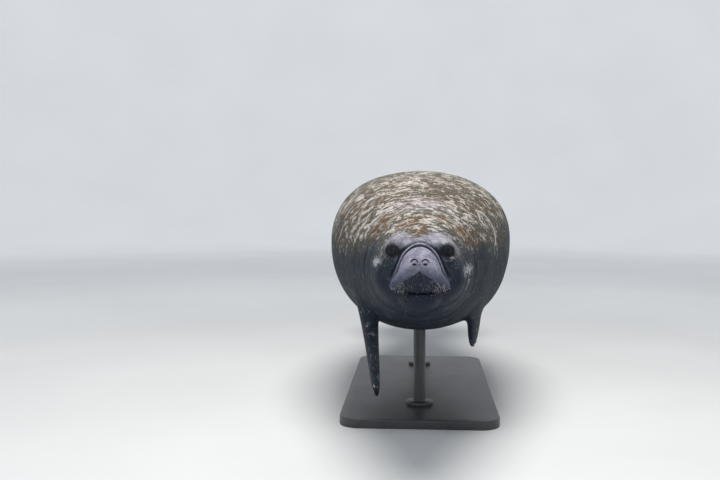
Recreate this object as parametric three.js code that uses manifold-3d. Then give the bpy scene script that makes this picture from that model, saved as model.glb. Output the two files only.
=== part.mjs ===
// A life-size West Indian manatee on a plain display stand, in millimetres, +Z up, facing -Y.
// Body places are given as: x across, u behind the tip of the snout, z above the level of the eyes.
import * as THREE from "three";
import { LoftGeometry } from "three/addons/geometries/LoftGeometry.js";
import { mergeVertices } from "three/addons/utils/BufferGeometryUtils.js";
import Module from "manifold-3d";

const LENGTH = 3240; // tip of the snout to tip of the tail
const EYE_HEIGHT = 800; // the level of the eyes above the floor
const GAP = 0.3; // clearance between two pieces that meet
const SNOUT_Y = -LENGTH / 2;
const UP = new THREE.Vector3(0, 1, 0); // the way a cone points before it is turned

// The trunk: place, half width, top, widest level, bottom.
const TRUNK = [
  [0, 34, -42, -60, -72],
  [10, 54, -32, -68, -94],
  [24, 68, -20, -82, -117],
  [45, 79, -4, -98, -135],
  [75, 83, 12, -112, -147],
  [105, 84, 27, -126, -151],
  [130, 89, 38, -128, -157],
  [155, 108, 48, -118, -168],
  [185, 142, 57, -106, -182],
  [260, 170, 83, -95, -217],
  [380, 199, 120, -88, -257],
  [520, 240, 156, -80, -302],
  [660, 292, 194, -70, -345],
  [850, 356, 243, -52, -388],
  [1100, 414, 293, -30, -422],
  [1410, 438, 322, -13, -435],
  [1760, 427, 307, -20, -416],
  [2110, 354, 246, -50, -358],
  [2370, 268, 162, -68, -290],
  [2560, 222, 82, -73, -226],
  [2710, 250, 20, -77, -176],
  [2880, 330, -24, -80, -135],
  [3070, 358, -34, -64, -94],
  [3240, 358, -26, -41, -56],
];
// How square the trunk's section is: place, power of the superellipse.
const SQUARENESS = [
  [0, 2],
  [120, 2],
  [185, 2.15],
  [400, 2.12],
  [700, 2.12],
  [1100, 2.2],
  [1760, 2.25],
  [2330, 2.1],
  [2590, 2],
  [2860, 1.75],
  [3240, 1.7],
];
const SNOUT_ROUND = 14; // how far back the snout's blunt front is rounded
const PADDLE_ROUND = 2880; // where the paddle's end begins to round off

// Where one piece ends and the next begins.
const NECK_FROM = 300;
const CHEST_FROM = 620;
const TORSO_FROM = 1060;
const TAIL_FROM = 1890;
const PADDLE_FROM = 2600;

// The two arched folds over the muzzle lie in planes that lean back as they go down.
const FOLD_LEAN = 0.16;
const FOLD_LEVEL = 20;
const INNER_FOLD = 101;
const OUTER_FOLD = 128;
const FOLD_WIDTH = 8.5;
const FOLD_DEPTH = 8;
const FOLD_BULGE = 4;
const FOLD_END = -112;

const LIP_MIDDLE = [13, 29, -66];
const LIP_CORNER = [81, 46, -113];
const LIP_RADII = [23, 24];
// The arched crest of the upper lip: its level in the middle, and how far it falls per mm across.
const LIP_CREST = [-55, 0.66];
const LIP_FACE_DEPTH = 4.5; // how far the lip's face lies back under that crest
const CHEEK_BLEND = 32;
const MOUTH_LEVEL = -141;
const MOUTH_RISE = 0.0017; // how fast the mouth's line climbs towards its corners, per mm
const MOUTH_CORNER = 118;
const MOUTH_HALF_GAP = 2.4;

const EYE = [96, 168, 2];
const EYE_RADIUS = 13;
const EYE_FACING = [0.7, -0.69, 0.18];
const SOCKET_RADIUS = 38;
const SOCKET_DEPTH = 13;
const LID_RADIUS = 11.5;
const LID_THICKNESS = 3.8;
const LID_OVAL = 1.16; // how much wider than high the eye's opening is

const NOSTRIL = [19, -30];
const NOSTRIL_RADIUS = 11.5;
const NOSTRIL_GROOVE = 2.2;

const BRISTLE_ROWS = 3;
const BRISTLES_PER_ROW = 5;
const BRISTLE_LENGTH = 13;
const BRISTLE_RADIUS = 1.3;

// The neck's folds: place at eye level, lean, depth, half width, and the levels they run between.
const NECK_FOLDS = [
  [350, -0.25, 4, 20, -400, 30],
  [440, -0.3, 5, 24, -400, 60],
  [655, 0.15, 5, 34, 60, 400],
];

const FLIPPER_LENGTH = 500;
const FLIPPER_ROUND = 340;
const FLIPPER_SWEEP = 3.16e-3;
// A flipper: place along it, half width, half thickness.
const BLADE = [
  [0, 78, 44],
  [80, 80, 46],
  [130, 74, 41],
  [180, 71, 35],
  [260, 80, 28],
  [340, 86, 23],
  [420, 82, 18],
  [500, 75, 14],
];
const FLIPPERS = {
  right: { root: [-232, 735, -165], along: [0.1, -0.02, -0.99], across: [0.12, -1, 0], outward: -1 },
  left: { root: [232, 735, -165], along: [0.04, 0.74, -0.67], across: [-0.22, -0.67, -0.74], outward: 1 },
};
const NAILS_PER_FLIPPER = 4;
const NAIL_SIZE = [9, 13, 5];

const BASE_WIDTH = 700;
const BASE_LENGTH = 1500;
const BASE_THICKNESS = 40;
const BASE_CORNER = 90;
const BASE_CENTRE = 1460;
const ROD_RADIUS = 28;
const FOOT_RADIUS = 62;
const FOOT_HEIGHT = 14;
const ROD_PLACES = { front: 1015, rear: 1960 };

const wasm = await Module();
wasm.setup();

const clamp = (v, low, high) => Math.min(Math.max(v, low), high);

function smoothStep(a, b, v) {
  const t = clamp((v - a) / (b - a), 0, 1);
  return t * t * (3 - 2 * t);
}

// 1 where d is 0, falling smoothly to 0 where d is the width.
function bump(d, width) {
  const t = clamp(1 - (d / width) ** 2, 0, 1);
  return t * t;
}

// The lesser of two distances, blended where they differ by less than k.
function blendMin(a, b, k) {
  const h = Math.max(k - Math.abs(a - b), 0) / k;
  return Math.min(a, b) - (h * h * k) / 4;
}

const blendMax = (a, b, k) => -blendMin(-a, -b, k);

// A smooth curve through rows of [place, value, ...].
function smoothTable(rows) {
  const slopes = rows.map((row, i) => {
    const before = rows[Math.max(i - 1, 0)];
    const after = rows[Math.min(i + 1, rows.length - 1)];
    return row.map((v, k) => (after[k] - before[k]) / (after[0] - before[0]));
  });
  return (place) => {
    const s = clamp(place, rows[0][0], rows[rows.length - 1][0]);
    let i = 0;
    while (i < rows.length - 2 && s >= rows[i + 1][0]) i++;
    const h = rows[i + 1][0] - rows[i][0];
    const t = (s - rows[i][0]) / h;
    const a = (1 + 2 * t) * (1 - t) ** 2;
    const b = h * t * (1 - t) ** 2;
    const c = t * t * (3 - 2 * t);
    const d = h * t * t * (1 - t);
    const next = rows[i + 1];
    return rows[i].map((v, k) => a * v + b * slopes[i][k] + c * next[k] - d * slopes[i + 1][k]);
  };
}

// Distance, along the ray from its middle, to a superellipse with these reaches.
function superellipse(across, up, width, height, power) {
  const rho = (Math.abs(across / width) ** power + Math.abs(up / height) ** power) ** (1 / power);
  return Math.hypot(across, up) * (1 - 1 / Math.max(rho, 1e-3));
}

function ellipsoid(x, u, z, middle, reach, power) {
  const p = [x - middle[0], u - middle[1], z - middle[2]];
  const rho = p.reduce((sum, v, k) => sum + Math.abs(v / reach[k]) ** power, 0) ** (1 / power);
  return Math.hypot(...p) * (1 - 1 / Math.max(rho, 1e-3));
}

function capsule(x, u, z, a, b, radii) {
  const ab = b.map((v, k) => v - a[k]);
  const p = [x - a[0], u - a[1], z - a[2]];
  const along = p[0] * ab[0] + p[1] * ab[1] + p[2] * ab[2];
  const t = clamp(along / (ab[0] ** 2 + ab[1] ** 2 + ab[2] ** 2), 0, 1);
  const d = Math.hypot(p[0] - t * ab[0], p[1] - t * ab[1], p[2] - t * ab[2]);
  return d - radii[0] - (radii[1] - radii[0]) * t;
}

// From here on, the animal's form is given as distances that are negative inside it.

const trunkTable = smoothTable(TRUNK);
const squareness = smoothTable(SQUARENESS);
const bladeTable = smoothTable(BLADE);

function trunkSizes(u) {
  const [, width, top, level, bottom] = trunkTable(u);
  const front = Math.sqrt(1 - clamp((SNOUT_ROUND - u) / (SNOUT_ROUND + 5), 0, 0.999) ** 2);
  const t = clamp((u - PADDLE_ROUND) / (LENGTH - PADDLE_ROUND), 0, 0.9999);
  const side = (1 - t ** 2.2) ** (1 / 2.2);
  const edge = Math.sqrt(1 - t ** 6);
  return {
    width: width * front * side,
    over: (top - level) * front * edge,
    under: (level - bottom) * front * edge,
    level,
  };
}

function trunk(x, u, z) {
  const s = trunkSizes(u);
  const up = z - s.level;
  const d = superellipse(x, up, s.width, up > 0 ? s.over : s.under, squareness(u)[1]);
  return Math.max(d, -5 - u);
}

function lips(x, u, z) {
  return capsule(Math.abs(x), u, z, LIP_MIDDLE, LIP_CORNER, LIP_RADII);
}

function cheeks(x, u, z) {
  const jowl = ellipsoid(Math.abs(x), u, z, [72, 240, -100], [82, 95, 85], 2);
  const brow = ellipsoid(Math.abs(x), u, z, [72, 203, 8], [48, 65, 46], 2);
  return blendMin(jowl, brow, 30);
}

function jaw(x, u, z) {
  const chin = ellipsoid(x, u, z, [0, 160, -165], [78, 102, 46], 2.3);
  const pad = ellipsoid(x, u, z, [0, 84, -157], [58, 36, 28], 2.3);
  return blendMin(chin, pad, 20);
}

const mouthLevel = (x, u) => MOUTH_LEVEL + 0.06 * Math.max(u - 50, 0) + MOUTH_RISE * x * x;

const mouthHalfGap = (u) => MOUTH_HALF_GAP * Math.sqrt(clamp((MOUTH_CORNER - u) / 60, 0, 1)) + GAP;

// How far behind the upright plane through the snout's tip a point lies, measured along the folds' lean.
const foldPlace = (u, z) => u + FOLD_LEAN * (z - FOLD_LEVEL);

function foldDepth(u, z) {
  const place = foldPlace(u, z);
  const fade = smoothStep(FOLD_END, FOLD_END + 34, z);
  const inner = FOLD_DEPTH * bump(place - INNER_FOLD, FOLD_WIDTH);
  const outer = FOLD_DEPTH * bump(place - OUTER_FOLD, FOLD_WIDTH + 1);
  const between = FOLD_BULGE * bump(place - (INNER_FOLD + OUTER_FOLD) / 2, 10);
  return (inner + outer - between) * fade;
}

function neckFoldDepth(u, z) {
  let depth = 0;
  for (const [place, lean, deep, width, low, high] of NECK_FOLDS) {
    const along = smoothStep(low, low + 60, z) * (1 - smoothStep(high - 60, high, z));
    depth += deep * bump(u - place - lean * z, width) * along;
  }
  return depth;
}

function socketDepth(x, u, z) {
  const r = Math.hypot(Math.abs(x) - EYE[0] - 7, u - EYE[1] + 7, z - EYE[2]);
  return SOCKET_DEPTH * bump(r, SOCKET_RADIUS);
}

// The head and body without jaw and flippers.
function upperBody(x, u, z) {
  let d = trunk(x, u, z);
  if (u < 420) {
    d = blendMin(d, lips(x, u, z), 30);
    d = blendMin(d, cheeks(x, u, z), CHEEK_BLEND);
    d += foldDepth(u, z) + socketDepth(x, u, z);
  }
  if (u > 200 && u < 800) d += neckFoldDepth(u, z);
  return d;
}

// 1 on the face of the upper lip under its arched crest, down to the mouth.
function lipFace(x, u, z) {
  const crest = LIP_CREST[0] - LIP_CREST[1] * Math.abs(x);
  const rim = smoothStep(2, 14, z - mouthLevel(x, u));
  return smoothStep(crest + 2, crest - 12, z) * rim * (1 - smoothStep(56, 84, u));
}

function snoutField(x, u, z) {
  const upper = upperBody(x, u, z) + LIP_FACE_DEPTH * lipFace(x, u, z);
  return blendMax(upper, mouthLevel(x, u) + mouthHalfGap(u) - z, 5);
}

function jawField(x, u, z) {
  return blendMax(jaw(x, u, z), z - mouthLevel(x, u) + mouthHalfGap(u), 5);
}

// How far a ray from inside a form runs before it leaves it.
function exitDistance(field, from, dir, reach) {
  const steps = 70;
  let inside = 0;
  let outside = reach;
  for (let i = 1; i <= steps; i++) {
    const r = (reach * i) / steps;
    if (field(from[0] + dir[0] * r, from[1] + dir[1] * r, from[2] + dir[2] * r) > 0) {
      outside = r;
      break;
    }
    inside = r;
  }
  for (let i = 0; i < 26; i++) {
    const r = (inside + outside) / 2;
    if (field(from[0] + dir[0] * r, from[1] + dir[1] * r, from[2] + dir[2] * r) > 0) outside = r;
    else inside = r;
  }
  return (inside + outside) / 2;
}

const toWorld = (x, u, z) => new THREE.Vector3(x, SNOUT_Y + u, EYE_HEIGHT + z);

// One ring of points on a form, where rays from its middle leave it.
function ring(field, middle, around, directionAt, reach, grow) {
  return Array.from({ length: around }, (unused, j) => {
    const dir = directionAt((2 * Math.PI * j) / around);
    const long = Math.hypot(...dir);
    const unit = dir.map((v) => v / long);
    const r = exitDistance((x, u, z) => field(x, u, z) - grow, middle, unit, reach);
    return toWorld(middle[0] + unit[0] * r, middle[1] + unit[1] * r, middle[2] + unit[2] * r);
  });
}

// Places from one end to the other, about `spacing` apart.
function spread(from, to, spacing) {
  const count = Math.max(1, Math.round((to - from) / spacing));
  return Array.from({ length: count + 1 }, (unused, i) => from + ((to - from) * i) / count);
}

// A solid with the surface of a closed geometry.
function solidOf(geometry) {
  const bare = new THREE.BufferGeometry();
  bare.setAttribute("position", geometry.getAttribute("position"));
  bare.setIndex(geometry.getIndex());
  const merged = mergeVertices(bare, 1e-3);
  return new wasm.Manifold(
    new wasm.Mesh({
      numProp: 3,
      vertProperties: merged.attributes.position.array,
      triVerts: new Uint32Array(merged.index.array),
    }),
  );
}

const loft = (rings) => solidOf(new LoftGeometry(rings, { closed: true, capStart: true, capEnd: true }));

// How far a piece's rings lean back: as the folds at the muzzle, upright from the neck on.
const leanAt = (place) => FOLD_LEAN * (1 - smoothStep(OUTER_FOLD, NECK_FROM, place));

// The level of a ring's middle: between the eyes' and the mouth's at the head, then the trunk's widest.
function middleLevel(place) {
  return place < NECK_FROM ? -62 - 0.155 * (place - INNER_FOLD) : trunkSizes(place).level;
}

// Rings of a length of the body, one at each of these places; `grow` makes it that much larger all round.
function bodyRings(places, around, grow) {
  return places.map((place, i) => {
    const shift = i === 0 ? -grow : i === places.length - 1 ? grow : 0;
    const lean = leanAt(place);
    const s = trunkSizes(place);
    const height = Math.max(s.over, s.under, 8);
    const level = middleLevel(place);
    const middle = [0, place + shift - lean * (level - FOLD_LEVEL), level];
    const directionAt = (t) => [-s.width * Math.cos(t), -lean * height * Math.sin(t), height * Math.sin(t)];
    return ring(upperBody, middle, around, directionAt, 520, grow);
  });
}

// The muzzle in front of the inner fold, as rings of rays that fan out from a point inside it.
function snoutRings() {
  const middle = [0, INNER_FOLD - GAP / 2 - FOLD_LEAN * (-62 - FOLD_LEVEL), -62];
  const angles = [...spread(4, 56, 6.5), ...spread(60.5, 84, 4.7), 86.5, 88.4, 90];
  return angles.map((degrees) => {
    const a = THREE.MathUtils.degToRad(degrees);
    const directionAt = (t) => {
      const across = -92 * Math.sin(a) * Math.cos(t);
      const up = 74 * Math.sin(a) * Math.sin(t);
      return [across, -112 * Math.cos(a) - FOLD_LEAN * up, up];
    };
    return ring(snoutField, middle, 56, directionAt, 190, 0);
  });
}

// A bent bar through points, of one radius, with flat ends.
function bar(points, radius, sides) {
  const curve = new THREE.CatmullRomCurve3(points);
  const steps = points.length * 2;
  const frames = curve.computeFrenetFrames(steps, false);
  const rings = Array.from({ length: steps + 1 }, (unused, i) => {
    const centre = curve.getPointAt(i / steps);
    return Array.from({ length: sides }, (none, j) => {
      const t = (2 * Math.PI * j) / sides;
      return centre
        .clone()
        .addScaledVector(frames.normals[i], radius * Math.cos(t))
        .addScaledVector(frames.binormals[i], radius * Math.sin(t));
    });
  });
  return loft(rings);
}

// Where the muzzle's front lies at a place across and up.
function snoutFront(x, z) {
  return 100 - exitDistance(snoutField, [x, 100, z], [0, -1, 0], 130);
}

// The curved slit over a nostril's plug.
function nostrilSlit(side) {
  const points = spread(-25, 205, 23).map((degrees) => {
    const a = THREE.MathUtils.degToRad(degrees);
    const x = side * NOSTRIL[0] + NOSTRIL_RADIUS * Math.cos(a);
    const z = NOSTRIL[1] + NOSTRIL_RADIUS * 0.85 * Math.sin(a);
    return toWorld(x, snoutFront(x, z), z);
  });
  return bar(points, NOSTRIL_GROOVE, 8);
}

// Short stiff bristles, sunk into the pads of the upper lip, in rows along the crest from middle to corner.
function lipBristles(side) {
  const bristles = [];
  for (let row = 0; row < BRISTLE_ROWS; row++) {
    for (const share of spread(0.1, 1, 0.9 / (BRISTLES_PER_ROW - 1))) {
      const x = side * (LIP_MIDDLE[0] + share * (LIP_CORNER[0] - LIP_MIDDLE[0]) + 3 * row);
      const z = LIP_MIDDLE[2] - 8 - (15 - 8 * share) * row + share * (LIP_CORNER[2] - LIP_MIDDLE[2]) * 0.8;
      const foot = toWorld(x, snoutFront(x, z), z);
      const pointing = new THREE.Vector3(side * (0.15 + 0.55 * share), -1, -0.35 - 0.25 * row).normalize();
      const geometry = new THREE.ConeGeometry(BRISTLE_RADIUS, BRISTLE_LENGTH + 4, 4);
      geometry.translate(0, BRISTLE_LENGTH / 2 - 2, 0);
      geometry.applyQuaternion(new THREE.Quaternion().setFromUnitVectors(UP, pointing));
      geometry.translate(foot.x, foot.y, foot.z);
      bristles.push(solidOf(geometry));
    }
  }
  return bristles;
}

function snout() {
  let solid = loft(snoutRings());
  for (const side of [-1, 1]) {
    solid = solid.subtract(nostrilSlit(side));
    for (const bristle of lipBristles(side)) solid = solid.add(bristle);
  }
  return solid;
}

// Places close by a fold on its hinder side, and on the fore side of the next one.
const afterFold = (place) => [place + GAP / 2, place + 2.5, place + 5.5, place + 9];
const beforeFold = (place) => [place - 9, place - 5.5, place - 2.5, place - GAP / 2];

const LENGTHS = {
  muzzle_fold: { places: [...afterFold(INNER_FOLD), ...beforeFold(OUTER_FOLD)], around: 52 },
  head: {
    places: [
      ...afterFold(OUTER_FOLD),
      ...spread(OUTER_FOLD + 18, 208, 9),
      ...spread(224, NECK_FROM - GAP / 2, 25),
    ],
    around: 56,
  },
  neck: { places: spread(NECK_FROM + GAP / 2, CHEST_FROM - GAP / 2, 21), around: 40 },
  chest: { places: spread(CHEST_FROM + GAP / 2, TORSO_FROM - GAP / 2, 44), around: 44 },
  torso: { places: spread(TORSO_FROM + GAP / 2, TAIL_FROM - GAP / 2, 83), around: 44 },
  tail_stock: { places: spread(TAIL_FROM + GAP / 2, PADDLE_FROM - GAP / 2, 51), around: 38 },
};

const bodyLength = (name, grow = 0) => loft(bodyRings(LENGTHS[name].places, LENGTHS[name].around, grow));

function eyeFrame(side) {
  const centre = toWorld(side * EYE[0], EYE[1], EYE[2]);
  const facing = new THREE.Vector3(side * EYE_FACING[0], EYE_FACING[1], EYE_FACING[2]).normalize();
  const level = new THREE.Vector3(0, 0, 1).cross(facing).normalize();
  const basis = new THREE.Matrix4().makeBasis(level, facing.clone().cross(level), facing);
  return { centre, facing, turn: new THREE.Quaternion().setFromRotationMatrix(basis) };
}

function ball(centre, radius) {
  const geometry = new THREE.SphereGeometry(radius, 14, 9);
  geometry.translate(centre.x, centre.y, centre.z);
  return solidOf(geometry);
}

// The thick ring of skin round an eye.
function lidRing(side) {
  const { centre, facing, turn } = eyeFrame(side);
  const geometry = new THREE.TorusGeometry(LID_RADIUS, LID_THICKNESS, 6, 20);
  geometry.scale(LID_OVAL, 1 / LID_OVAL, 1);
  geometry.applyQuaternion(turn);
  const seat = centre.clone().addScaledVector(facing, EYE_RADIUS * 0.6);
  geometry.translate(seat.x, seat.y, seat.z);
  return solidOf(geometry);
}

function head() {
  let solid = bodyLength("head");
  for (const side of [-1, 1]) {
    solid = solid.add(lidRing(side));
    solid = solid.subtract(ball(eyeFrame(side).centre, EYE_RADIUS + GAP));
  }
  return solid;
}

const eye = (side) => ball(eyeFrame(side).centre, EYE_RADIUS);

function lowerJaw() {
  const rings = [52, 56, 62, ...spread(70, 246, 18), 256, 261].map((u) => {
    const middle = [0, u, -158];
    return ring(jawField, middle, 28, (t) => [-80 * Math.cos(t), 0, 40 * Math.sin(t)], 130, 0);
  });
  return loft(rings).subtract(bodyLength("muzzle_fold", GAP)).subtract(bodyLength("head", GAP));
}

function tailPaddle() {
  const places = [...spread(PADDLE_FROM + GAP / 2, 3090, 49), 3130, 3163, 3190, 3211, 3226, 3235.5, 3239.5];
  return loft(bodyRings(places, 36, 0));
}

// A flipper's own axes: along it, across its blade, and out through its outer face.
function flipperAxes(side) {
  const { along, across, outward } = FLIPPERS[side];
  const a = new THREE.Vector3(...along).normalize();
  const b = new THREE.Vector3(...across);
  b.addScaledVector(a, -b.dot(a)).normalize();
  const c = new THREE.Vector3().crossVectors(a, b);
  if (c.x * outward < 0) c.negate();
  return { a, b, c, root: toWorld(...FLIPPERS[side].root) };
}

function bladeSizes(place) {
  const [, width, thickness] = bladeTable(place);
  const e = clamp((place - FLIPPER_ROUND) / (FLIPPER_LENGTH - FLIPPER_ROUND), 0, 0.9995);
  return {
    width: width * (1 - e ** 2.1) ** (1 / 2.1),
    thickness: thickness * Math.sqrt(1 - e ** 5),
    sweep: -FLIPPER_SWEEP * Math.max(place - 120, 0) ** 1.5,
  };
}

function flipperPoint(axes, place, across, out) {
  const { root, a, b, c } = axes;
  return root.clone().addScaledVector(a, place).addScaledVector(b, across).addScaledVector(c, out);
}

function blade(axes) {
  const handed = new THREE.Vector3().crossVectors(axes.a, axes.b).dot(axes.c);
  const places = [...spread(0, 400, 50), 430, 455, 475, 489, 497];
  const rings = places.map((place) => {
    const s = bladeSizes(place);
    return Array.from({ length: 20 }, (unused, j) => {
      const t = (handed * 2 * Math.PI * j) / 20;
      return flipperPoint(axes, place, s.sweep + s.width * Math.cos(t), s.thickness * Math.sin(t));
    });
  });
  return loft(rings);
}

// One small oval nail, sunk into the outer face near the flipper's tip; `share` runs across the blade.
function nail(axes, share) {
  const place = FLIPPER_LENGTH - 24 - 34 * share * share;
  const s = bladeSizes(place);
  const part = 0.8 * Math.sign(share) * Math.abs(share) ** 0.7;
  const across = s.sweep + part * s.width;
  const surface = s.thickness * Math.sqrt(1 - part * part);
  const geometry = new THREE.SphereGeometry(1, 10, 6);
  geometry.scale(...NAIL_SIZE);
  const fanned = axes.a.clone().addScaledVector(axes.b, 0.45 * share).normalize();
  const sideways = new THREE.Vector3().crossVectors(fanned, axes.c).normalize();
  geometry.applyMatrix4(new THREE.Matrix4().makeBasis(sideways, fanned, sideways.clone().cross(fanned)));
  const seat = flipperPoint(axes, place, across, surface - NAIL_SIZE[2] * 0.35);
  geometry.translate(seat.x, seat.y, seat.z);
  return solidOf(geometry);
}

function flipper(side) {
  const axes = flipperAxes(side);
  let solid = blade(axes);
  for (const share of spread(-1, 1, 2 / (NAILS_PER_FLIPPER - 1))) solid = solid.add(nail(axes, share));
  return solid.subtract(bodyLength("chest", GAP)).subtract(bodyLength("torso", GAP));
}

// The stand's flat base, a slab with round corners.
function standBase() {
  const w = BASE_WIDTH / 2 - BASE_CORNER;
  const l = BASE_LENGTH / 2 - BASE_CORNER;
  const outline = new THREE.Shape();
  outline.absarc(w, l, BASE_CORNER, 0, Math.PI / 2);
  outline.absarc(-w, l, BASE_CORNER, Math.PI / 2, Math.PI);
  outline.absarc(-w, -l, BASE_CORNER, Math.PI, 1.5 * Math.PI);
  outline.absarc(w, -l, BASE_CORNER, 1.5 * Math.PI, 2 * Math.PI);
  outline.closePath();
  const geometry = new THREE.ExtrudeGeometry(outline, {
    depth: BASE_THICKNESS,
    bevelEnabled: false,
    curveSegments: 10,
  });
  geometry.translate(0, SNOUT_Y + BASE_CENTRE, 0);
  return solidOf(geometry);
}

// A cylinder that stands on a level.
function post(radius, height, from, u) {
  const geometry = new THREE.CylinderGeometry(radius, radius, height, 32);
  geometry.rotateX(Math.PI / 2);
  geometry.translate(0, SNOUT_Y + u, from + height / 2);
  return solidOf(geometry);
}

// A rod with a round foot, cut to the belly that rests on it.
function standRod(u, above) {
  const floor = BASE_THICKNESS + GAP;
  const rod = post(ROD_RADIUS, EYE_HEIGHT - 250 - floor, floor, u);
  return rod.add(post(FOOT_RADIUS, FOOT_HEIGHT, floor, u)).subtract(bodyLength(above, GAP));
}

const SKIN = { color: 0x6b6a68, roughness: 0.72, metalness: 0 };
const MUZZLE = { color: 0x7a7880, roughness: 0.66, metalness: 0 };
const EYEBALL = { color: 0x14100e, roughness: 0.12, metalness: 0 };
const STAND = { color: 0x2c2e31, roughness: 0.45, metalness: 0.3 };

// The largest of the closed bodies that joining and cutting leave.
function largest(solid) {
  return solid.decompose().reduce((a, b) => (b.volume() > a.volume() ? b : a));
}

function meshOf(name, solid, look) {
  const made = largest(solid).getMesh();
  const geometry = new THREE.BufferGeometry();
  geometry.setAttribute("position", new THREE.BufferAttribute(made.vertProperties, 3));
  geometry.setIndex(new THREE.BufferAttribute(made.triVerts, 1));
  geometry.computeVertexNormals();
  const mesh = new THREE.Mesh(geometry, new THREE.MeshStandardMaterial(look));
  mesh.name = name;
  return mesh;
}

const manatee = new THREE.Group();
manatee.name = "manatee";
manatee.add(meshOf("snout", snout(), MUZZLE));
manatee.add(meshOf("muzzle_fold", bodyLength("muzzle_fold"), MUZZLE));
manatee.add(meshOf("lower_jaw", lowerJaw(), MUZZLE));
manatee.add(meshOf("head", head(), SKIN));
manatee.add(meshOf("eye_right", eye(-1), EYEBALL));
manatee.add(meshOf("eye_left", eye(1), EYEBALL));
manatee.add(meshOf("neck", bodyLength("neck"), SKIN));
manatee.add(meshOf("chest", bodyLength("chest"), SKIN));
manatee.add(meshOf("torso", bodyLength("torso"), SKIN));
manatee.add(meshOf("tail_stock", bodyLength("tail_stock"), SKIN));
manatee.add(meshOf("tail_paddle", tailPaddle(), SKIN));
manatee.add(meshOf("flipper_right", flipper("right"), SKIN));
manatee.add(meshOf("flipper_left", flipper("left"), SKIN));
manatee.add(meshOf("stand_base", standBase(), STAND));
manatee.add(meshOf("stand_rod_front", standRod(ROD_PLACES.front, "chest"), STAND));
manatee.add(meshOf("stand_rod_rear", standRod(ROD_PLACES.rear, "tail_stock"), STAND));

export default manatee;
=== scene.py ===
"""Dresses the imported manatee: its hide, eyes, nails, bristles, hairs and stand, and the room round it.

Places on the animal are given as x across, u behind the tip of the snout and z above the level of the eyes,
in millimetres, as in the part's own source. What Blender holds is in metres, in the frame of the part.
"""

import math

import bpy
import numpy as np
from bpy.props import FloatProperty, FloatVectorProperty, IntProperty, PointerProperty
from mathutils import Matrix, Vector

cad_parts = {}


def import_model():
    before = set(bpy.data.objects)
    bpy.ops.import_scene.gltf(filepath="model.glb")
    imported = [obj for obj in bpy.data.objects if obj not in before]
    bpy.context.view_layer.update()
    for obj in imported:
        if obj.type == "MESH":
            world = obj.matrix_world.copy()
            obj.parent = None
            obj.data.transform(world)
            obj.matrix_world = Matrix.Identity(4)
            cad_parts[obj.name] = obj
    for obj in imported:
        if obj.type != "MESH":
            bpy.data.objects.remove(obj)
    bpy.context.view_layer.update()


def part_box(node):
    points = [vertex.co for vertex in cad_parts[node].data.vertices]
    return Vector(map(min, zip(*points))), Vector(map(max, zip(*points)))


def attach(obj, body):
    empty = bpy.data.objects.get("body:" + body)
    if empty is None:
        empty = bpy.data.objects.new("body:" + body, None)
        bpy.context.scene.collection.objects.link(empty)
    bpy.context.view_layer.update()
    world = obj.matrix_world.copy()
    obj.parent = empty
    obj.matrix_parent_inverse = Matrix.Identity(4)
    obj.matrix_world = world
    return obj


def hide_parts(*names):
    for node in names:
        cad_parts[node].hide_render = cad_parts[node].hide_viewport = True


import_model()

bl_info = {
    "name": "Manatee on a stand",
    "version": (1, 0, 0),
    "blender": (4, 5, 0),
    "location": "View3D > Sidebar > Manatee",
    "description": "Builds a life-size manatee's hide, eyes, nails, bristles and stand on its solids",
    "category": "Add Mesh",
}

# Sizes of the animal, in millimetres.

LENGTH = 3240.0
EYE_HEIGHT = 800.0
SNOUT_Y = -LENGTH / 2

# The trunk: place, half width, top, widest level, bottom.
TRUNK = (
    (0, 34, -42, -60, -72),
    (10, 54, -32, -68, -94),
    (24, 68, -20, -82, -117),
    (45, 79, -4, -98, -135),
    (75, 83, 12, -112, -147),
    (105, 84, 27, -126, -151),
    (130, 89, 38, -128, -157),
    (155, 108, 48, -118, -168),
    (185, 142, 57, -106, -182),
    (260, 170, 83, -95, -217),
    (380, 199, 120, -88, -257),
    (520, 240, 156, -80, -302),
    (660, 292, 194, -70, -345),
    (850, 356, 243, -52, -388),
    (1100, 414, 293, -30, -422),
    (1410, 438, 322, -13, -435),
    (1760, 427, 307, -20, -416),
    (2110, 354, 246, -50, -358),
    (2370, 268, 162, -68, -290),
    (2560, 222, 82, -73, -226),
    (2710, 250, 20, -77, -176),
    (2880, 330, -24, -80, -135),
    (3070, 358, -34, -64, -94),
    (3240, 358, -26, -41, -56),
)
# How square the trunk's sections are: place, power of the superellipse.
SQUARENESS = (
    (0, 2.0),
    (120, 2.0),
    (185, 2.15),
    (400, 2.12),
    (700, 2.12),
    (1100, 2.2),
    (1760, 2.25),
    (2330, 2.1),
    (2590, 2.0),
    (2860, 1.75),
    (3240, 1.7),
)
# The snout's end rounds off before the first of these places, the paddle's after the second.
SNOUT_ROUND = 14
PADDLE_ROUND = 2880
# How much of the tail's tip is smoothed instead of fitted to the form.
TIP_DEPTH = 14

# The two folds over the muzzle: where they cross the eyes' level, their lean, and how far down they run.
FOLD_LEAN = 0.16
FOLD_LEVEL = 20
INNER_FOLD = 101
OUTER_FOLD = 128
FOLD_WIDTH = 8.5
FOLD_DEPTH = 8
FOLD_BULGE = 4
FOLD_END = -112

# The upper lip: the ends and radii of each lobe, and the arched crest's height and slope.
LIP_MIDDLE = (13, 29, -66)
LIP_CORNER = (81, 46, -113)
LIP_RADII = (23, 24)
LIP_CREST = (-55, 0.66)
LIP_FACE_DEPTH = 4.5
LIP_BLEND = 30
CHEEK_BLEND = 32
MOUTH_LEVEL = -141
MOUTH_RISE = 0.0017
MOUTH_CORNER = 118

# Rounded forms of the head: middle, reach.
JOWL = ((72, 240, -100), (82, 95, 85))
BROW = ((72, 203, 8), (48, 65, 46))
CHIN = ((0, 160, -165), (78, 102, 46))
LIP_PAD = ((0, 84, -157), (58, 36, 28))
CHIN_POWER = 2.3
JAW_BLEND = 9

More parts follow.
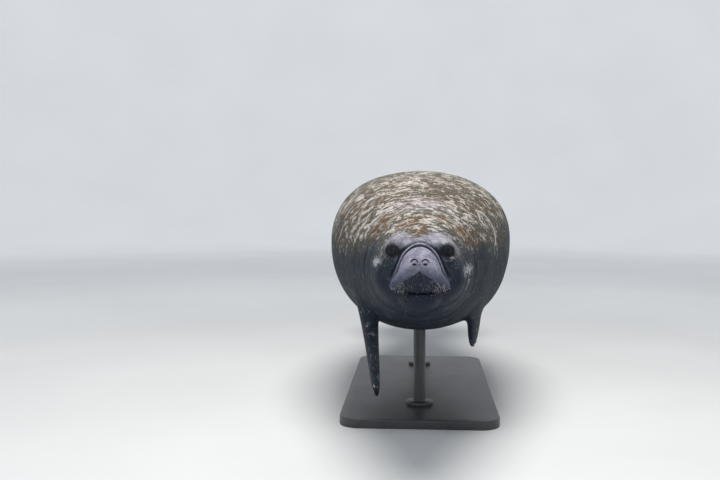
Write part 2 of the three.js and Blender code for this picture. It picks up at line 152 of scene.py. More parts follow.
EYE = (96, 168, 2)
EYE_RADIUS = 13
EYE_FACING = (0.7, -0.69, 0.18)
SOCKET_RADIUS = 38
SOCKET_DEPTH = 13
LID_RADIUS = 11.5
LID_THICKNESS = 3.8
LID_OVAL = 1.16
LID_BLEND = 5

NOSTRIL = (19, -30)
NOSTRIL_RADIUS = 11.5

# The neck's folds: place at eye level, lean, depth, half width, and the levels they run between.
NECK_FOLDS = (
    (350, -0.25, 4, 20, -400, 30),
    (440, -0.3, 5, 24, -400, 60),
    (655, 0.15, 5, 34, 60, 400),
)

FLIPPER_LENGTH = 500
FLIPPER_ROUND = 340
FLIPPER_SWEEP = 3.16e-3
FLIPPER_BLEND = 34
# A flipper: place along it, half width, half thickness.
BLADE = (
    (0, 78, 44),
    (80, 80, 46),
    (130, 74, 41),
    (180, 71, 35),
    (260, 80, 28),
    (340, 86, 23),
    (420, 82, 18),
    (500, 75, 14),
)
# Each flipper: root, direction along it, direction across its blade, side that its outer face looks to.
FLIPPERS = {
    "right": ((-232, 735, -165), (0.1, -0.02, -0.99), (0.12, -1, 0), -1),
    "left": ((232, 735, -165), (0.04, 0.74, -0.67), (-0.22, -0.67, -0.74), 1),
}
NAILS_PER_FLIPPER = 4
NAIL_REACH = (13.0, 8.8, 4.2)

# The stand: its base in metres, and its rods in millimetres.
BASE = (0.700, 1.500, 0.040)
BASE_CORNER = 0.090
BASE_EDGE = 0.004
FILLET = 0.007
BASE_CENTRE = 1460
ROD_RADIUS = 28
FOOT_RADIUS = 62
FOOT_HEIGHT = 14
ROD_PLACES = (1015, 1960)
GAP = 0.3

# The solids that the one hide takes the place of.
FLESH = (
    *("snout", "muzzle_fold", "lower_jaw", "head", "neck", "chest", "torso"),
    *("tail_stock", "tail_paddle", "flipper_right", "flipper_left"),
)


def smooth_step(a, b, v):
    """0 where v is a, rising smoothly to 1 where v is b."""
    t = np.clip((v - a) / (b - a), 0, 1)
    return t * t * (3 - 2 * t)


def bump(d, width):
    """1 where d is 0, falling smoothly to 0 where d is the width."""
    t = np.clip(1 - (d / width) ** 2, 0, 1)
    return t * t


def unit(ways):
    """Ways brought to length 1."""
    return ways / np.maximum(np.linalg.norm(ways, axis=-1, keepdims=True), 1e-6)


def blend_min(a, b, k):
    """The lesser of two distances, blended where they differ by less than k."""
    h = np.maximum(k - np.abs(a - b), 0) / k
    return np.minimum(a, b) - h * h * k / 4


def smooth_table(rows):
    """A smooth curve through rows of (place, value, ...), as a function that gives the values at places."""
    table = np.array(rows, float)
    place, values = table[:, 0], table[:, 1:]
    ends = np.vstack([table[:1], table, table[-1:]])
    slope = (ends[2:, 1:] - ends[:-2, 1:]) / (ends[2:, :1] - ends[:-2, :1])

    def at(s):
        s = np.clip(s, place[0], place[-1])
        i = np.clip(np.searchsorted(place, s, side="right") - 1, 0, len(place) - 2)
        h = place[i + 1] - place[i]
        t = (s - place[i]) / h
        a, b = (1 + 2 * t) * (1 - t) ** 2, h * t * (1 - t) ** 2
        c, d = t * t * (3 - 2 * t), h * t * t * (1 - t)
        return [
            a * values[i, k] + b * slope[i, k] + c * values[i + 1, k] - d * slope[i + 1, k]
            for k in range(values.shape[1])
        ]

    return at


def superellipse(across, up, width, height, power):
    """Distance, along the ray from its middle, to a superellipse with these reaches."""
    rho = (np.abs(across / width) ** power + np.abs(up / height) ** power) ** (1 / power)
    return np.hypot(across, up) * (1 - 1 / np.maximum(rho, 1e-3))


def ellipsoid(x, u, z, middle, reach, power):
    """Distance, along the ray from its middle, to an ellipsoid with these reaches."""
    p = [np.abs(v - m) for v, m in zip((x, u, z), middle)]
    rho = sum((v / r) ** power for v, r in zip(p, reach)) ** (1 / power)
    return np.sqrt(sum(v * v for v in p)) * (1 - 1 / np.maximum(rho, 1e-3))


def capsule(x, u, z, a, b, radii):
    """Distance to a rod with round ends from a to b, whose radius changes along it."""
    ab = [q - p for p, q in zip(a, b)]
    p = [x - a[0], u - a[1], z - a[2]]
    t = np.clip(sum(v * w for v, w in zip(p, ab)) / sum(w * w for w in ab), 0, 1)
    d = np.sqrt(sum((v - t * w) ** 2 for v, w in zip(p, ab)))
    return d - radii[0] - (radii[1] - radii[0]) * t


trunk_table = smooth_table(TRUNK)
squareness = smooth_table(SQUARENESS)
blade_table = smooth_table(BLADE)


def trunk_sizes(u):
    """Half width, reach over and under the widest level, and that level, of the trunk at a place."""
    width, top, level, bottom = trunk_table(u)
    front = np.sqrt(1 - np.clip((SNOUT_ROUND - u) / (SNOUT_ROUND + 5), 0, 0.999) ** 2)
    t = np.clip((u - PADDLE_ROUND) / (LENGTH - PADDLE_ROUND), 0, 0.9999)
    side = (1 - t**2.2) ** (1 / 2.2)
    edge = np.sqrt(1 - t**6)
    return width * front * side, (top - level) * front * edge, (level - bottom) * front * edge, level


def trunk(x, u, z):
    """The trunk from snout to tail, negative inside it."""
    width, over, under, level = trunk_sizes(u)
    up = z - level
    d = superellipse(x, up, width, np.where(up > 0, over, under), squareness(u)[0])
    return np.maximum(np.maximum(d, -5 - u), u - LENGTH)


def cheeks(x, u, z):
    """The swell of the jowls and the brows."""
    jowl = ellipsoid(np.abs(x), u, z, *JOWL, 2)
    brow = ellipsoid(np.abs(x), u, z, *BROW, 2)
    return blend_min(jowl, brow, 30)


def jaw(x, u, z):
    """The lower jaw with the pad of its lip."""
    chin = ellipsoid(x, u, z, *CHIN, CHIN_POWER)
    pad = ellipsoid(x, u, z, *LIP_PAD, CHIN_POWER)
    return blend_min(chin, pad, 20)


def mouth_level(x, u):
    """Height of the line between the lips."""
    return MOUTH_LEVEL + 0.06 * np.maximum(u - 50, 0) + MOUTH_RISE * x * x


def fold_place(u, z):
    """Place behind the snout, measured square to the folds over the muzzle."""
    return u + FOLD_LEAN * (z - FOLD_LEVEL)


def fold_depth(u, z):
    """Depth of the two folds over the muzzle, with the bulge between them."""
    place = fold_place(u, z)
    fade = smooth_step(FOLD_END, FOLD_END + 34, z)
    inner = FOLD_DEPTH * bump(place - INNER_FOLD, FOLD_WIDTH)
    outer = FOLD_DEPTH * bump(place - OUTER_FOLD, FOLD_WIDTH + 1)
    between = FOLD_BULGE * bump(place - (INNER_FOLD + OUTER_FOLD) / 2, 10)
    return (inner + outer - between) * fade


def neck_fold_depth(x, u, z):
    """Folds round the neck, which wander and fade as they go round."""
    depth = 0
    wander = 11 * np.sin(0.017 * x + 0.011 * z) + 6 * np.sin(0.043 * x - 0.021 * z + 1)
    for place, lean, deep, width, low, high in NECK_FOLDS:
        along = smooth_step(low, low + 60, z) * (1 - smooth_step(high - 60, high, z))
        along = along * (0.62 + 0.38 * np.sin(0.015 * x + 0.024 * z + 0.1 * place))
        depth = depth + deep * bump(u - place - lean * z + wander, width) * along
    return depth


def eye_distance(x, u, z):
    """Distance from the middle of the nearer eye's socket."""
    return np.sqrt((np.abs(x) - EYE[0] - 7) ** 2 + (u - EYE[1] + 7) ** 2 + (z - EYE[2]) ** 2)


def eye_axes():
    """The directions level with, up over and out of the eye on the animal's left."""
    facing = unit(np.array(EYE_FACING))
    level = unit(np.cross((0, 0, 1), facing))
    return level, np.cross(facing, level), facing


def lids(x, u, z):
    """The oval ring of skin round each eye, and how far a place lies round and over that ring."""
    level, over, facing = eye_axes()
    p = [np.abs(x) - EYE[0], u - EYE[1], z - EYE[2]]
    a = sum(v * w for v, w in zip(p, level)) / LID_OVAL
    b = sum(v * w for v, w in zip(p, over)) * LID_OVAL
    c = sum(v * w for v, w in zip(p, facing)) - 0.6 * EYE_RADIUS
    return np.hypot(np.hypot(a, b) - LID_RADIUS, c) - LID_THICKNESS


def nostril_depth(x, u, z):
    """Depth of the crescent nostrils round their raised plugs, and of the parting under them."""
    dx, dz = np.abs(x) - NOSTRIL[0], (z - NOSTRIL[1]) / 0.85
    r = np.hypot(dx, dz)
    open_part = smooth_step(-0.5, 0.0, dz / np.maximum(r, 1e-3))
    slit = 5.5 * bump(r - NOSTRIL_RADIUS, 3.4) * open_part
    plug = 2.2 * bump(r, 9.5)
    pit = 5 * bump(np.hypot(dx * 0.8, dz + 7.5), 6)
    parting = 2.4 * bump(x, 8) * smooth_step(-12, -28, z) * (z > mouth_level(x, u))
    return (slit - plug + pit + parting) * (1 - smooth_step(48, 62, u))


def lip_crest(x):
    """Height of the arched crest of the upper lip."""
    return LIP_CREST[0] - LIP_CREST[1] * np.abs(x)


def lip_face(x, u, z):
    """1 on the face of the upper lip under its arched crest, down to the mouth."""
    crest = lip_crest(x)
    rim = smooth_step(2, 14, z - mouth_level(x, u))
    return smooth_step(crest + 2, crest - 12, z) * rim * (1 - smooth_step(56, 84, u))


def mouth_depth(x, u, z):
    """Depth of the line between the lips and of the face of the upper lip."""
    line = 7.5 * bump(z - mouth_level(x, u), 5)
    line = line * (1 - smooth_step(MOUTH_CORNER - 12, MOUTH_CORNER + 10, u))
    return line + LIP_FACE_DEPTH * lip_face(x, u, z)


def flipper_axes(side):
    """A flipper's root, and its directions along, across and out of its outer face."""
    root, along, across, outward = FLIPPERS[side]
    a, b = unit(np.array(along, float)), np.array(across, float)
    b = unit(b - (b @ a) * a)
    c = np.cross(a, b)
    return np.array(root, float), a, b, c if c[0] * outward > 0 else -c


def blade_sizes(place):
    """Half width, half thickness and backward sweep of a flipper's blade."""
    width, thickness = blade_table(place)
    e = np.clip((place - FLIPPER_ROUND) / (FLIPPER_LENGTH - FLIPPER_ROUND), 0, 0.9995)
    sweep = -FLIPPER_SWEEP * np.maximum(place - 120, 0) ** 1.5
    return width * (1 - e**2.1) ** (1 / 2.1), thickness * np.sqrt(1 - e**5), sweep


def flipper(x, u, z, side):
    """One flipper, negative inside it."""
    root, a, b, c = flipper_axes(side)
    p = [x - root[0], u - root[1], z - root[2]]
    along, across, out = (sum(v * w for v, w in zip(p, axis)) for axis in (a, b, c))
    width, thickness, sweep = blade_sizes(along)
    d = superellipse(across - sweep, out, width, thickness, 2)
    return np.maximum(np.maximum(d, -along), along - FLIPPER_LENGTH)


def animal(x, u, z):
    """The whole animal, as one distance."""
    d = trunk(x, u, z)
    lips = capsule(np.abs(x), u, z, LIP_MIDDLE, LIP_CORNER, LIP_RADII)
    d = blend_min(d, lips, LIP_BLEND)
    d = blend_min(d, cheeks(x, u, z), CHEEK_BLEND)
    socket = SOCKET_DEPTH * bump(eye_distance(x, u, z), SOCKET_RADIUS)
    d = d + np.where(u < 420, fold_depth(u, z) + socket, 0)
    d = d + np.where((u > 200) & (u < 800), neck_fold_depth(x, u, z), 0)
    d = blend_min(d, jaw(x, u, z), JAW_BLEND)
    d = d + np.where(u < 140, nostril_depth(x, u, z) + mouth_depth(x, u, z), 0)
    d = blend_min(d, lids(x, u, z), LID_BLEND)
    for side in FLIPPERS:
        d = blend_min(d, flipper(x, u, z, side), FLIPPER_BLEND)
    return d


def slope(v, step=0.4):
    """The form's distance at places and the way it grows fastest there."""
    here = animal(*v.T)
    ways = [(animal(*(v + step * np.eye(3)[k]).T) - here) / step for k in range(3)]
    return here, np.stack(ways, 1)


def project(v, rounds=3):
    """Moves places on to the form's surface, but for the tail's tip, where its sections shrink to nothing."""
    for _ in range(rounds):
        here, way = slope(v)
        move = (here / np.maximum((way * way).sum(1), 0.05))[:, None] * way
        size = np.linalg.norm(move, axis=1)
        share = np.minimum(1, 7 / np.maximum(size, 1e-6)) * (v[:, 1] < LENGTH - TIP_DEPTH)
        v = v - move * share[:, None]
    return v


def grid_lines(low, high, fine_low, fine_high, fine, coarse):
    """Grid lines, fine between two places and growing coarser outside them."""
    lines = list(np.arange(fine_low, fine_high + fine / 2, fine))
    for sign, end in ((1, high), (-1, low)):
        step, place = fine, lines[-1] if sign > 0 else lines[0]
        while (end - place) * sign > 0:
            step = min(coarse, step * 1.12)
            place += sign * step
            lines.append(place)
        lines.sort()
    return np.array(lines)


def denser(lines, *spans):
    """Grid lines with one more between each two neighbours that lie in a span."""
    halves = (lines[1:] + lines[:-1]) / 2
    chosen = np.any([(halves > low) & (halves < high) for low, high in spans], axis=0)
    return np.sort(np.concatenate([lines, halves[chosen]]))


def surface_of(value, lines):
    """Vertices and outward quads where a value on a grid passes through nothing."""
    inside = value < 0
    n = value.shape
    corners = [(i, j, k) for i in (0, 1) for j in (0, 1) for k in (0, 1)]
    count = sum(
        inside[i : n[0] - 1 + i, j : n[1] - 1 + j, k : n[2] - 1 + k].astype(np.int8) for i, j, k in corners
    )
    active = (count > 0) & (count < 8)
    cell = np.argwhere(active)
    number = np.full(active.shape, -1, np.int64)
    number[active] = np.arange(len(cell))
    at = np.stack([value[cell[:, 0] + i, cell[:, 1] + j, cell[:, 2] + k] for i, j, k in corners], 1)
    place = np.array(corners, float)
    total, crossings = np.zeros((len(cell), 3)), np.zeros(len(cell))
    for a in range(8):
        for b in range(a + 1, 8):
            if np.abs(place[a] - place[b]).sum() != 1:
                continue
            cross = (at[:, a] < 0) != (at[:, b] < 0)
            t = np.where(cross, at[:, a] / np.where(cross, at[:, a] - at[:, b], 1), 0)
            total += np.where(cross[:, None], place[a] + t[:, None] * (place[b] - place[a]), 0)
            crossings += cross
    share = total / crossings[:, None]
    first = [lines[k][cell[:, k]] for k in range(3)]
    verts = np.stack([first[k] + share[:, k] * (lines[k][cell[:, k] + 1] - first[k]) for k in range(3)], 1)
    quads = []
    for axis in range(3):
        step = [int(k == axis) for k in range(3)]
        near = inside[: n[0] - step[0], : n[1] - step[1], : n[2] - step[2]]
        far = inside[step[0] :, step[1] :, step[2] :]
        edge = np.argwhere(near != far)
        s, t = [k for k in range(3) if k != axis]
        edge = edge[(edge[:, s] > 0) & (edge[:, t] > 0)]
        ds, dt = np.eye(3, dtype=int)[s], np.eye(3, dtype=int)[t]
        ring = np.stack([number[tuple((edge - off).T)] for off in (ds + dt, dt, 0 * ds, ds)], 1)
        leaving = near[tuple(edge.T)]
        turned = ~leaving if axis != 1 else leaving
        ring[turned] = ring[turned][:, ::-1]
        quads.append(ring)
    return verts, np.concatenate(quads)


def edges_of(tris):
    """Each triangle's three edges as numbers into the list of edges, and that list."""
    pairs = np.sort(np.stack([tris[:, [0, 1]], tris[:, [1, 2]], tris[:, [2, 0]]], 1), axis=2)
    edges, which = np.unique(pairs.reshape(-1, 2), axis=0, return_inverse=True)
    return edges, which.reshape(-1, 3)


def split_edges(verts, tris, edges, which, marked):
    """Halves the marked edges, and cuts the triangles beside them so that no gap opens."""
    middle = np.full(len(edges), -1)
    middle[marked] = len(verts) + np.arange(marked.sum())
    verts = np.concatenate([verts, verts[edges[marked]].mean(1)])
    cut = middle[which]
    hit = cut >= 0
    # turn each triangle so that its uncut or its only cut edge comes where the patterns below expect it
    turn = np.zeros(len(tris), int)
    one, two = hit.sum(1) == 1, hit.sum(1) == 2
    turn[one] = hit[one].argmax(1)
    turn[two] = (~hit[two]).argmax(1) + 1
    order = (np.arange(3)[None] + turn[:, None]) % 3
    t, m = np.take_along_axis(tris, order, 1), np.take_along_axis(cut, order, 1)
    a, b, c = t.T
    p, q, r = m.T
    pieces = [tris[~hit.any(1)]]
    pieces += [np.stack(k, 1)[one] for k in ((a, p, c), (p, b, c))]
    pieces += [np.stack(k, 1)[two] for k in ((p, b, q), (a, p, q), (a, q, c))]
    pieces += [np.stack(k, 1)[hit.all(1)] for k in ((a, p, r), (p, b, q), (r, q, c), (p, q, r))]
    return verts, np.concatenate(pieces)


def towards_neighbours(verts, edges):
    """From each vertex to the middle of those that it shares an edge with."""
    total, count = np.zeros_like(verts), np.zeros(len(verts))
    for k in (0, 1):
        np.add.at(total, edges[:, k], verts[edges[:, 1 - k]])
        np.add.at(count, edges[:, k], 1)
    return total / count[:, None] - verts


def smooth_tip(verts, tris, rounds=16):
    """Evens out the rim round the tip of the tail."""
    edges, _ = edges_of(tris)
    x, u, _ = verts.T
    share = 0.7 * smooth_step(LENGTH - 3 * TIP_DEPTH, LENGTH - TIP_DEPTH, u)
    share = share * (1 - smooth_step(120, 190, np.abs(x)))
    for _ in range(rounds):
        verts = verts + share[:, None] * towards_neighbours(verts, edges)
    return verts


def relax(verts, tris, rounds=2):
    """Evens out a mesh along its own surface."""
    edges, _ = edges_of(tris)
    for _ in range(rounds):
        way = unit(slope(verts)[1])
        move = towards_neighbours(verts, edges)
        verts = verts + 0.6 * (move - (move * way).sum(1)[:, None] * way)
        verts = project(verts, 1)
    return verts


def finest(v):
    """How long a mesh edge may be: short round the eyes, nostrils and mouth, long on the back."""
    x, u, z = np.abs(v[:, 0]), v[:, 1], v[:, 2]
    face = np.full(len(v), 40.0)
    head = (u < 200) & (z > -230)
    face[head] = 8.5
    muzzle = (fold_place(u, z) < OUTER_FOLD + 14) & (z > -200)
    face[muzzle] = 6.0
    face[np.abs(z - mouth_level(x, u)) + 100 * (u > 125) < 9] = 3.2
    nostril = np.hypot(x - NOSTRIL[0], z - NOSTRIL[1]) + 100 * (u > 60)
    face[nostril < 20] = 2.4
    face[eye_distance(*v.T) < 40] = 4.4
    face[np.abs(lids(*v.T)) < 4.5] = 2.4
    return face


def skin_mesh(grain):
    """The whole hide as triangles, in millimetres, on places x, u and z."""
    lines = (
        denser(grid_lines(-500, 500, -118, 118, grain, 20), (-260, -140), (190, 300)),
        denser(grid_lines(-30, LENGTH + 30, -12, 215, grain, 24), (640, 820), (920, 1180), (3090, LENGTH)),
        denser(grid_lines(-720, 360, -215, 62, grain, 19), (-700, -380)),
    )
    value = np.empty([len(k) for k in lines])
    for start in range(0, len(lines[1]), 16):
        part = slice(start, start + 16)
        value[:, part] = animal(*np.meshgrid(lines[0], lines[1][part], lines[2], indexing="ij"))
    verts, quads = surface_of(value, lines)
    tris = np.concatenate([quads[:, [0, 1, 2]], quads[:, [0, 2, 3]]])
    verts = relax(project(verts), tris)
    for bend in (0.5, 0.5, 0.45):
        edges, which = edges_of(tris)
        ends = verts[edges]
        size = np.linalg.norm(ends[:, 0] - ends[:, 1], axis=1)
        way = unit(slope(verts)[1])
        turn = np.linalg.norm(way[edges[:, 0]] - way[edges[:, 1]], axis=1)
        middle = ends.mean(1)
        marked = ((turn > bend) & (size > 5)) | (size > 1.25 * finest(middle))
        verts, tris = split_edges(verts, tris, edges, which, marked)
        verts = project(verts, 2)
    return smooth_tip(verts, tris), tris


def world(v):
    """Places on the animal as points of the scene."""
    return (np.asarray(v, float) + (0, SNOUT_Y, EYE_HEIGHT)) / 1000


def mesh_from(name, verts, faces):
    """A mesh of any faces."""
    mesh = bpy.data.meshes.new(name)
    mesh.from_pydata([tuple(p) for p in verts], [], [tuple(int(k) for k in f) for f in faces])
    mesh.update()
    return mesh


def fast_mesh(name, verts, tris):
    """A mesh of many triangles."""
    mesh = bpy.data.meshes.new(name)
    mesh.vertices.add(len(verts))
    mesh.vertices.foreach_set("co", verts.astype(np.float32).ravel())
    mesh.loops.add(3 * len(tris))
    mesh.loops.foreach_set("vertex_index", tris.astype(np.int32).ravel())
    mesh.polygons.add(len(tris))
    mesh.polygons.foreach_set("loop_start", np.arange(0, 3 * len(tris), 3, dtype=np.int32))
    mesh.update(calc_edges=True)
    mesh.validate()
    mesh.shade_smooth()
    return mesh


def add_value(mesh, name, values):
    """Stores a number or a vector at each vertex."""
    kind = "FLOAT" if np.ndim(values) == 1 else "FLOAT_VECTOR"
    attribute = mesh.attributes.new(name, kind, "POINT")
    field = "value" if kind == "FLOAT" else "vector"
    attribute.data.foreach_set(field, np.asarray(values, np.float32).ravel())


def place_object(name, mesh):
    """An object at the origin, in the scene."""
    piece = bpy.data.objects.new(name, mesh)
    bpy.context.scene.collection.objects.link(piece)
    return piece


class Shade:
    """One socket of a material's node tree, which ordinary arithmetic can be written with."""

    def __init__(self, tree, socket):
        self.tree = tree
        self.socket = socket

    def node(self, kind, settings, inputs, output=0):
        """Adds a node, sets it, gives its inputs values or links, and returns one of its outputs."""
        made = self.tree.nodes.new(kind)
        for key, value in settings.items():
            setattr(made, key, value)
        for key, value in inputs.items():
            if isinstance(value, Shade):
                self.tree.links.new(value.socket, made.inputs[key])
            else:
                made.inputs[key].default_value = value
        return Shade(self.tree, made.outputs[output])

    def _math(self, operation, *values):
        return self.node("ShaderNodeMath", {"operation": operation}, dict(enumerate(values)))

    def __add__(self, other):
        return self._math("ADD", self, other)

    def __radd__(self, other):
        return self._math("ADD", other, self)

    def __sub__(self, other):
        return self._math("SUBTRACT", self, other)

    def __rsub__(self, other):
        return self._math("SUBTRACT", other, self)

    def __mul__(self, other):
        return self._math("MULTIPLY", self, other)

    def __rmul__(self, other):
        return self._math("MULTIPLY", other, self)

    def __abs__(self):
        return self._math("ABSOLUTE", self)

    def between(self, low, high, to_low=0.0, to_high=1.0):
        """Runs smoothly from one value to another as this one passes from low to high."""
        return self.node(
            "ShaderNodeMapRange",
            {"interpolation_type": "SMOOTHSTEP"},
            {"Value": self, "From Min": low, "From Max": high, "To Min": to_low, "To Max": to_high},
        )

    def mix(self, a, b):
        """From colour a to colour b as this value goes from 0 to 1."""
        a, b = ((*k, 1) if isinstance(k, tuple) and len(k) == 3 else k for k in (a, b))
        return self.node("ShaderNodeMix", {"data_type": "RGBA"}, {0: self, 6: a, 7: b}, 2)

    def stretch(self, x, y, z):
        return self.node("ShaderNodeVectorMath", {"operation": "MULTIPLY"}, {0: self, 1: (x, y, z)})

    def noise(self, scale, detail=3.0, roughness=0.55, distortion=0.0):
        """Cloudy noise at this place, finer as the scale grows."""
        inputs = {"Vector": self, "Scale": scale, "Detail": detail, "Roughness": roughness}
        return self.node("ShaderNodeTexNoise", {}, {**inputs, "Distortion": distortion})

    def noise_colour(self, scale):
        """Three noises at once, centred on nothing, to bend a place by."""
        made = self.node("ShaderNodeTexNoise", {}, {"Vector": self, "Scale": scale, "Detail": 2.0}, 1)
        return self.node("ShaderNodeVectorMath", {"operation": "SUBTRACT"}, {0: made, 1: (0.5, 0.5, 0.5)})

    def cells(self, scale):
        """Distance from the edges between scattered cells."""
        edges = {"feature": "DISTANCE_TO_EDGE"}
        return self.node("ShaderNodeTexVoronoi", edges, {"Vector": self, "Scale": scale})

    def distance_to(self, point):
        return self.node("ShaderNodeVectorMath", {"operation": "DISTANCE"}, {0: self, 1: point}, 1)


def new_material(name, **constants):
    """A material with a plain shader, its constants set, and its tree wrapped for arithmetic."""
    material = bpy.data.materials.new(name)
    material.use_nodes = True
    tree = material.node_tree
    shader = tree.nodes["Principled BSDF"]
    for key, value in constants.items():
        shader.inputs[key.replace("_", " ")].default_value = value
    coords = tree.nodes.new("ShaderNodeTexCoord")
    return material, Shade(tree, coords.outputs["Object"]), shader


def attribute(base, name):
    """A value that is stored at the mesh's vertices."""
    return base.node("ShaderNodeAttribute", {"attribute_name": name}, {}, 2)


def link(value, shader, socket):
    """Feeds one of a shader's sockets."""
    value.tree.links.new(value.socket, shader.inputs[socket])


def raised(height, distance, strength=1.0, under=None):
    """A bumped normal from a height."""
    inputs = {"Height": height, "Distance": distance, "Strength": strength}
    if under is not None:
        inputs["Normal"] = under
    return height.node("ShaderNodeBump", {}, inputs)


def hide_material(look):
    """The hide: a flecked back, dark flanks and belly, lavender muzzle and brow, with painted shade on the
    underside, the lower muzzle, the lip's face, the jaw and in the creases and sockets.
    """
    material, p, shader = new_material("manatee_hide", IOR=1.4, Specular_IOR_Level=0.2)
    up, bare, brow = attribute(p, "up"), attribute(p, "bare"), attribute(p, "brow")
    dark, painted_crease_shade, algae = attribute(p, "dark"), attribute(p, "painted_crease_shade"), attribute(p, "algae")
    nape, scuff, arm = attribute(p, "nape"), attribute(p, "scuff"), attribute(p, "arm")

    # the back: pale flecks of sloughing skin between olive gaps, with brown algae behind the head
    across = p.stretch(0.74, 1.08, 0.74)
    patches = across.noise(38.0, 6.0, 0.7, 0.4)
    grain = across.noise(150.0, 4.0, 0.7, 0.4)
    broad = p.noise(4.2, 3.0, 0.5)
    thinned = up.between(0.75, -0.2, 0.0, 0.09)
    flecks = (patches + 0.3 * (grain - 0.5) + 0.24 * (broad - 0.5) - thinned).between(0.505, 0.572)
    gaps = grain.between(0.38, 0.64).mix(tuple(look.back_dark), (0.12, 0.115, 0.095))
    pale = grain.between(0.34, 0.6).mix((0.26, 0.24, 0.215), tuple(look.back_pale))
    back_colour = flecks.mix(gaps, pale)
    back_colour = (nape * patches.between(0.4, 0.52) * 0.7).mix(back_colour, (0.46, 0.42, 0.44))
    rust = p.noise(52.0, 6.0, 0.75, 0.8)
    rust_mask = (rust + 0.22 * (algae - 0.5)).between(0.46, 0.56)
    brown = (0.4 * rust + 0.6 * grain).between(0.46, 0.6).mix((0.016, 0.012, 0.009), tuple(look.algae))
    back_colour = (rust_mask * algae.between(0.0, 0.3) * (0.92 - 0.5 * flecks)).mix(back_colour, brown)

    # the flanks and belly: dark slate, with faint cloudy marks; the slate is darker than the hide's own grey,
    # as painted shade of an underside that light reaches only from above
    cloud = p.noise(11.0, 4.0, 0.6)
    under_colour_and_shade = cloud.between(0.35, 0.7).mix(tuple(look.belly), (0.02, 0.031, 0.045))
    under_colour_and_shade = (flecks * (up + 1.2).between(0.2, 1.4) * 0.3).mix(under_colour_and_shade, (0.17, 0.17, 0.16))

    edge = p.noise(13.0, 5.0, 0.65)
    # the pale back gives way to the dark flanks where the hide stops facing up: the darker lower side is
    # partly the hide's own tone and partly painted shade
    back_mask = (up + (edge - 0.5) * 1.3 + (grain - 0.5) * 0.8 + (broad - 0.5) * 0.9).between(-0.42, 0.52)
    colour = back_mask.mix(under_colour_and_shade, back_colour)

    # the brow and the bare muzzle: lavender grey with fine dark and pale specks
    speck = p.noise(420.0, 2.0, 0.6)
    bloom = p.noise(34.0, 3.0, 0.6)
    brow_tone = (bloom + 0.6 * (speck - 0.5)).between(0.35, 0.68)
    brow_colour = brow_tone.mix((0.17, 0.17, 0.21), (0.44, 0.42, 0.48))
    frayed = (brow + 3.2 * (patches - 0.5) + 1.6 * (grain - 0.5)).between(0.2, 1.0)
    colour = (frayed * 0.92).mix(colour, brow_colour)
    muzzle = bloom.between(0.35, 0.7).mix(tuple(look.muzzle), (0.27, 0.275, 0.36))
    muzzle = (speck.between(0.54, 0.63) * 0.6).mix(muzzle, (0.5, 0.49, 0.56))
    muzzle = (speck.between(0.46, 0.37) * 0.7).mix(muzzle, (0.04, 0.043, 0.068))
    # painted shade: the bare muzzle is darkened towards its lower part, as if lit from above
    low = p.node("ShaderNodeSeparateXYZ", {}, {0: p}, 2).between(0.785, 0.695)
    muzzle = (low * 0.8).mix(muzzle, (0.026, 0.036, 0.066))
    colour = bare.mix(colour, muzzle)
    # painted shade: under the lip's crest and over the lower jaw the hide is made near black, with a ragged
    # edge
    ragged_shade = (dark + 0.8 * (bloom - 0.5) + 0.5 * (speck - 0.5)).between(0.2, 0.75)
    colour = (ragged_shade * 0.94).mix(colour, cloud.mix((0.006, 0.01, 0.02), (0.02, 0.026, 0.044)))

    # pale scuffs on the cheeks, and one crescent scar on the left shoulder
    drawn = p.stretch(1.0, 0.45, 1.0)
    patchy = drawn.noise(70.0, 4.0, 0.7)
    chips = drawn.noise(210.0, 3.0, 0.7)
    scuff_mask = (0.8 * scuff + 2.4 * (patchy - 0.5) + 2.8 * (chips - 0.5)).between(0.42, 0.72)
    colour = (scuff_mask * scuff.between(0.0, 0.2) * 0.92).mix(colour, (0.48, 0.5, 0.53))
    middle = tuple(world((275, 730, 62)))
    ring = abs(p.distance_to(middle) - 0.085 + (patchy - 0.5) * 0.01).between(0.0085, 0.003)
    behind = p.node("ShaderNodeSeparateXYZ", {}, {0: p}, 1) - middle[1]
    scar = ring * behind.between(0.0, 0.03) * grain.between(0.3, 0.5) * 0.8
    colour = scar.mix(colour, (0.6, 0.58, 0.55))

    # fine wrinkles that cross each other, small and shallow on the muzzle
    sway = p.noise_colour(40.0).stretch(0.012, 0.012, 0.012)
    bent = p.node("ShaderNodeVectorMath", {"operation": "ADD"}, {0: p, 1: sway})
    cracks = bent.stretch(0.85, 1.2, 0.85).cells(78.0)
    creases = bent.cells(170.0)
    # painted shade: the hide is darkened along the lines of the fine wrinkle network, but not on the bare
    # muzzle
    colour = (cracks.between(0.07, 0.0) * (1 - bare) * 0.3).mix(colour, (0.03, 0.033, 0.04))
    # painted shade: near black in the folds, sockets, nostrils, mouth line and neck folds
    colour = (painted_crease_shade * 0.95).mix(colour, tuple(look.painted_crease_shade))
    link(colour, shader, "Base Color")
    link(0.6 + 0.16 * back_mask * grain - 0.1 * bare, shader, "Roughness")

    ridges = p.stretch(0.7, 1.25, 0.7).noise(58.0, 4.0, 0.6)
    fine = p.noise(520.0, 2.0, 0.6)
    soft = 1 - 0.5 * bare
    network = (cracks.between(0.0, 0.24) + 0.4) * soft + 0.45 * creases.between(0.0, 0.3)
    wave = arm * 88.0 + p.noise(14.0, 3.0) * 9.0
    bands = wave.node("ShaderNodeMath", {"operation": "SINE"}, {0: wave})
    creased = arm.between(0.02, 0.12) * arm.between(0.8, 0.4)
    normal = raised(ridges * soft + bands * creased * 0.3, 0.006, 0.7)
    normal = raised(network, 0.0013, 0.8, normal)
    normal = raised(fine + 0.6 * grain, 0.0009, 0.8, normal)
    link(normal, shader, "Normal")
    return material


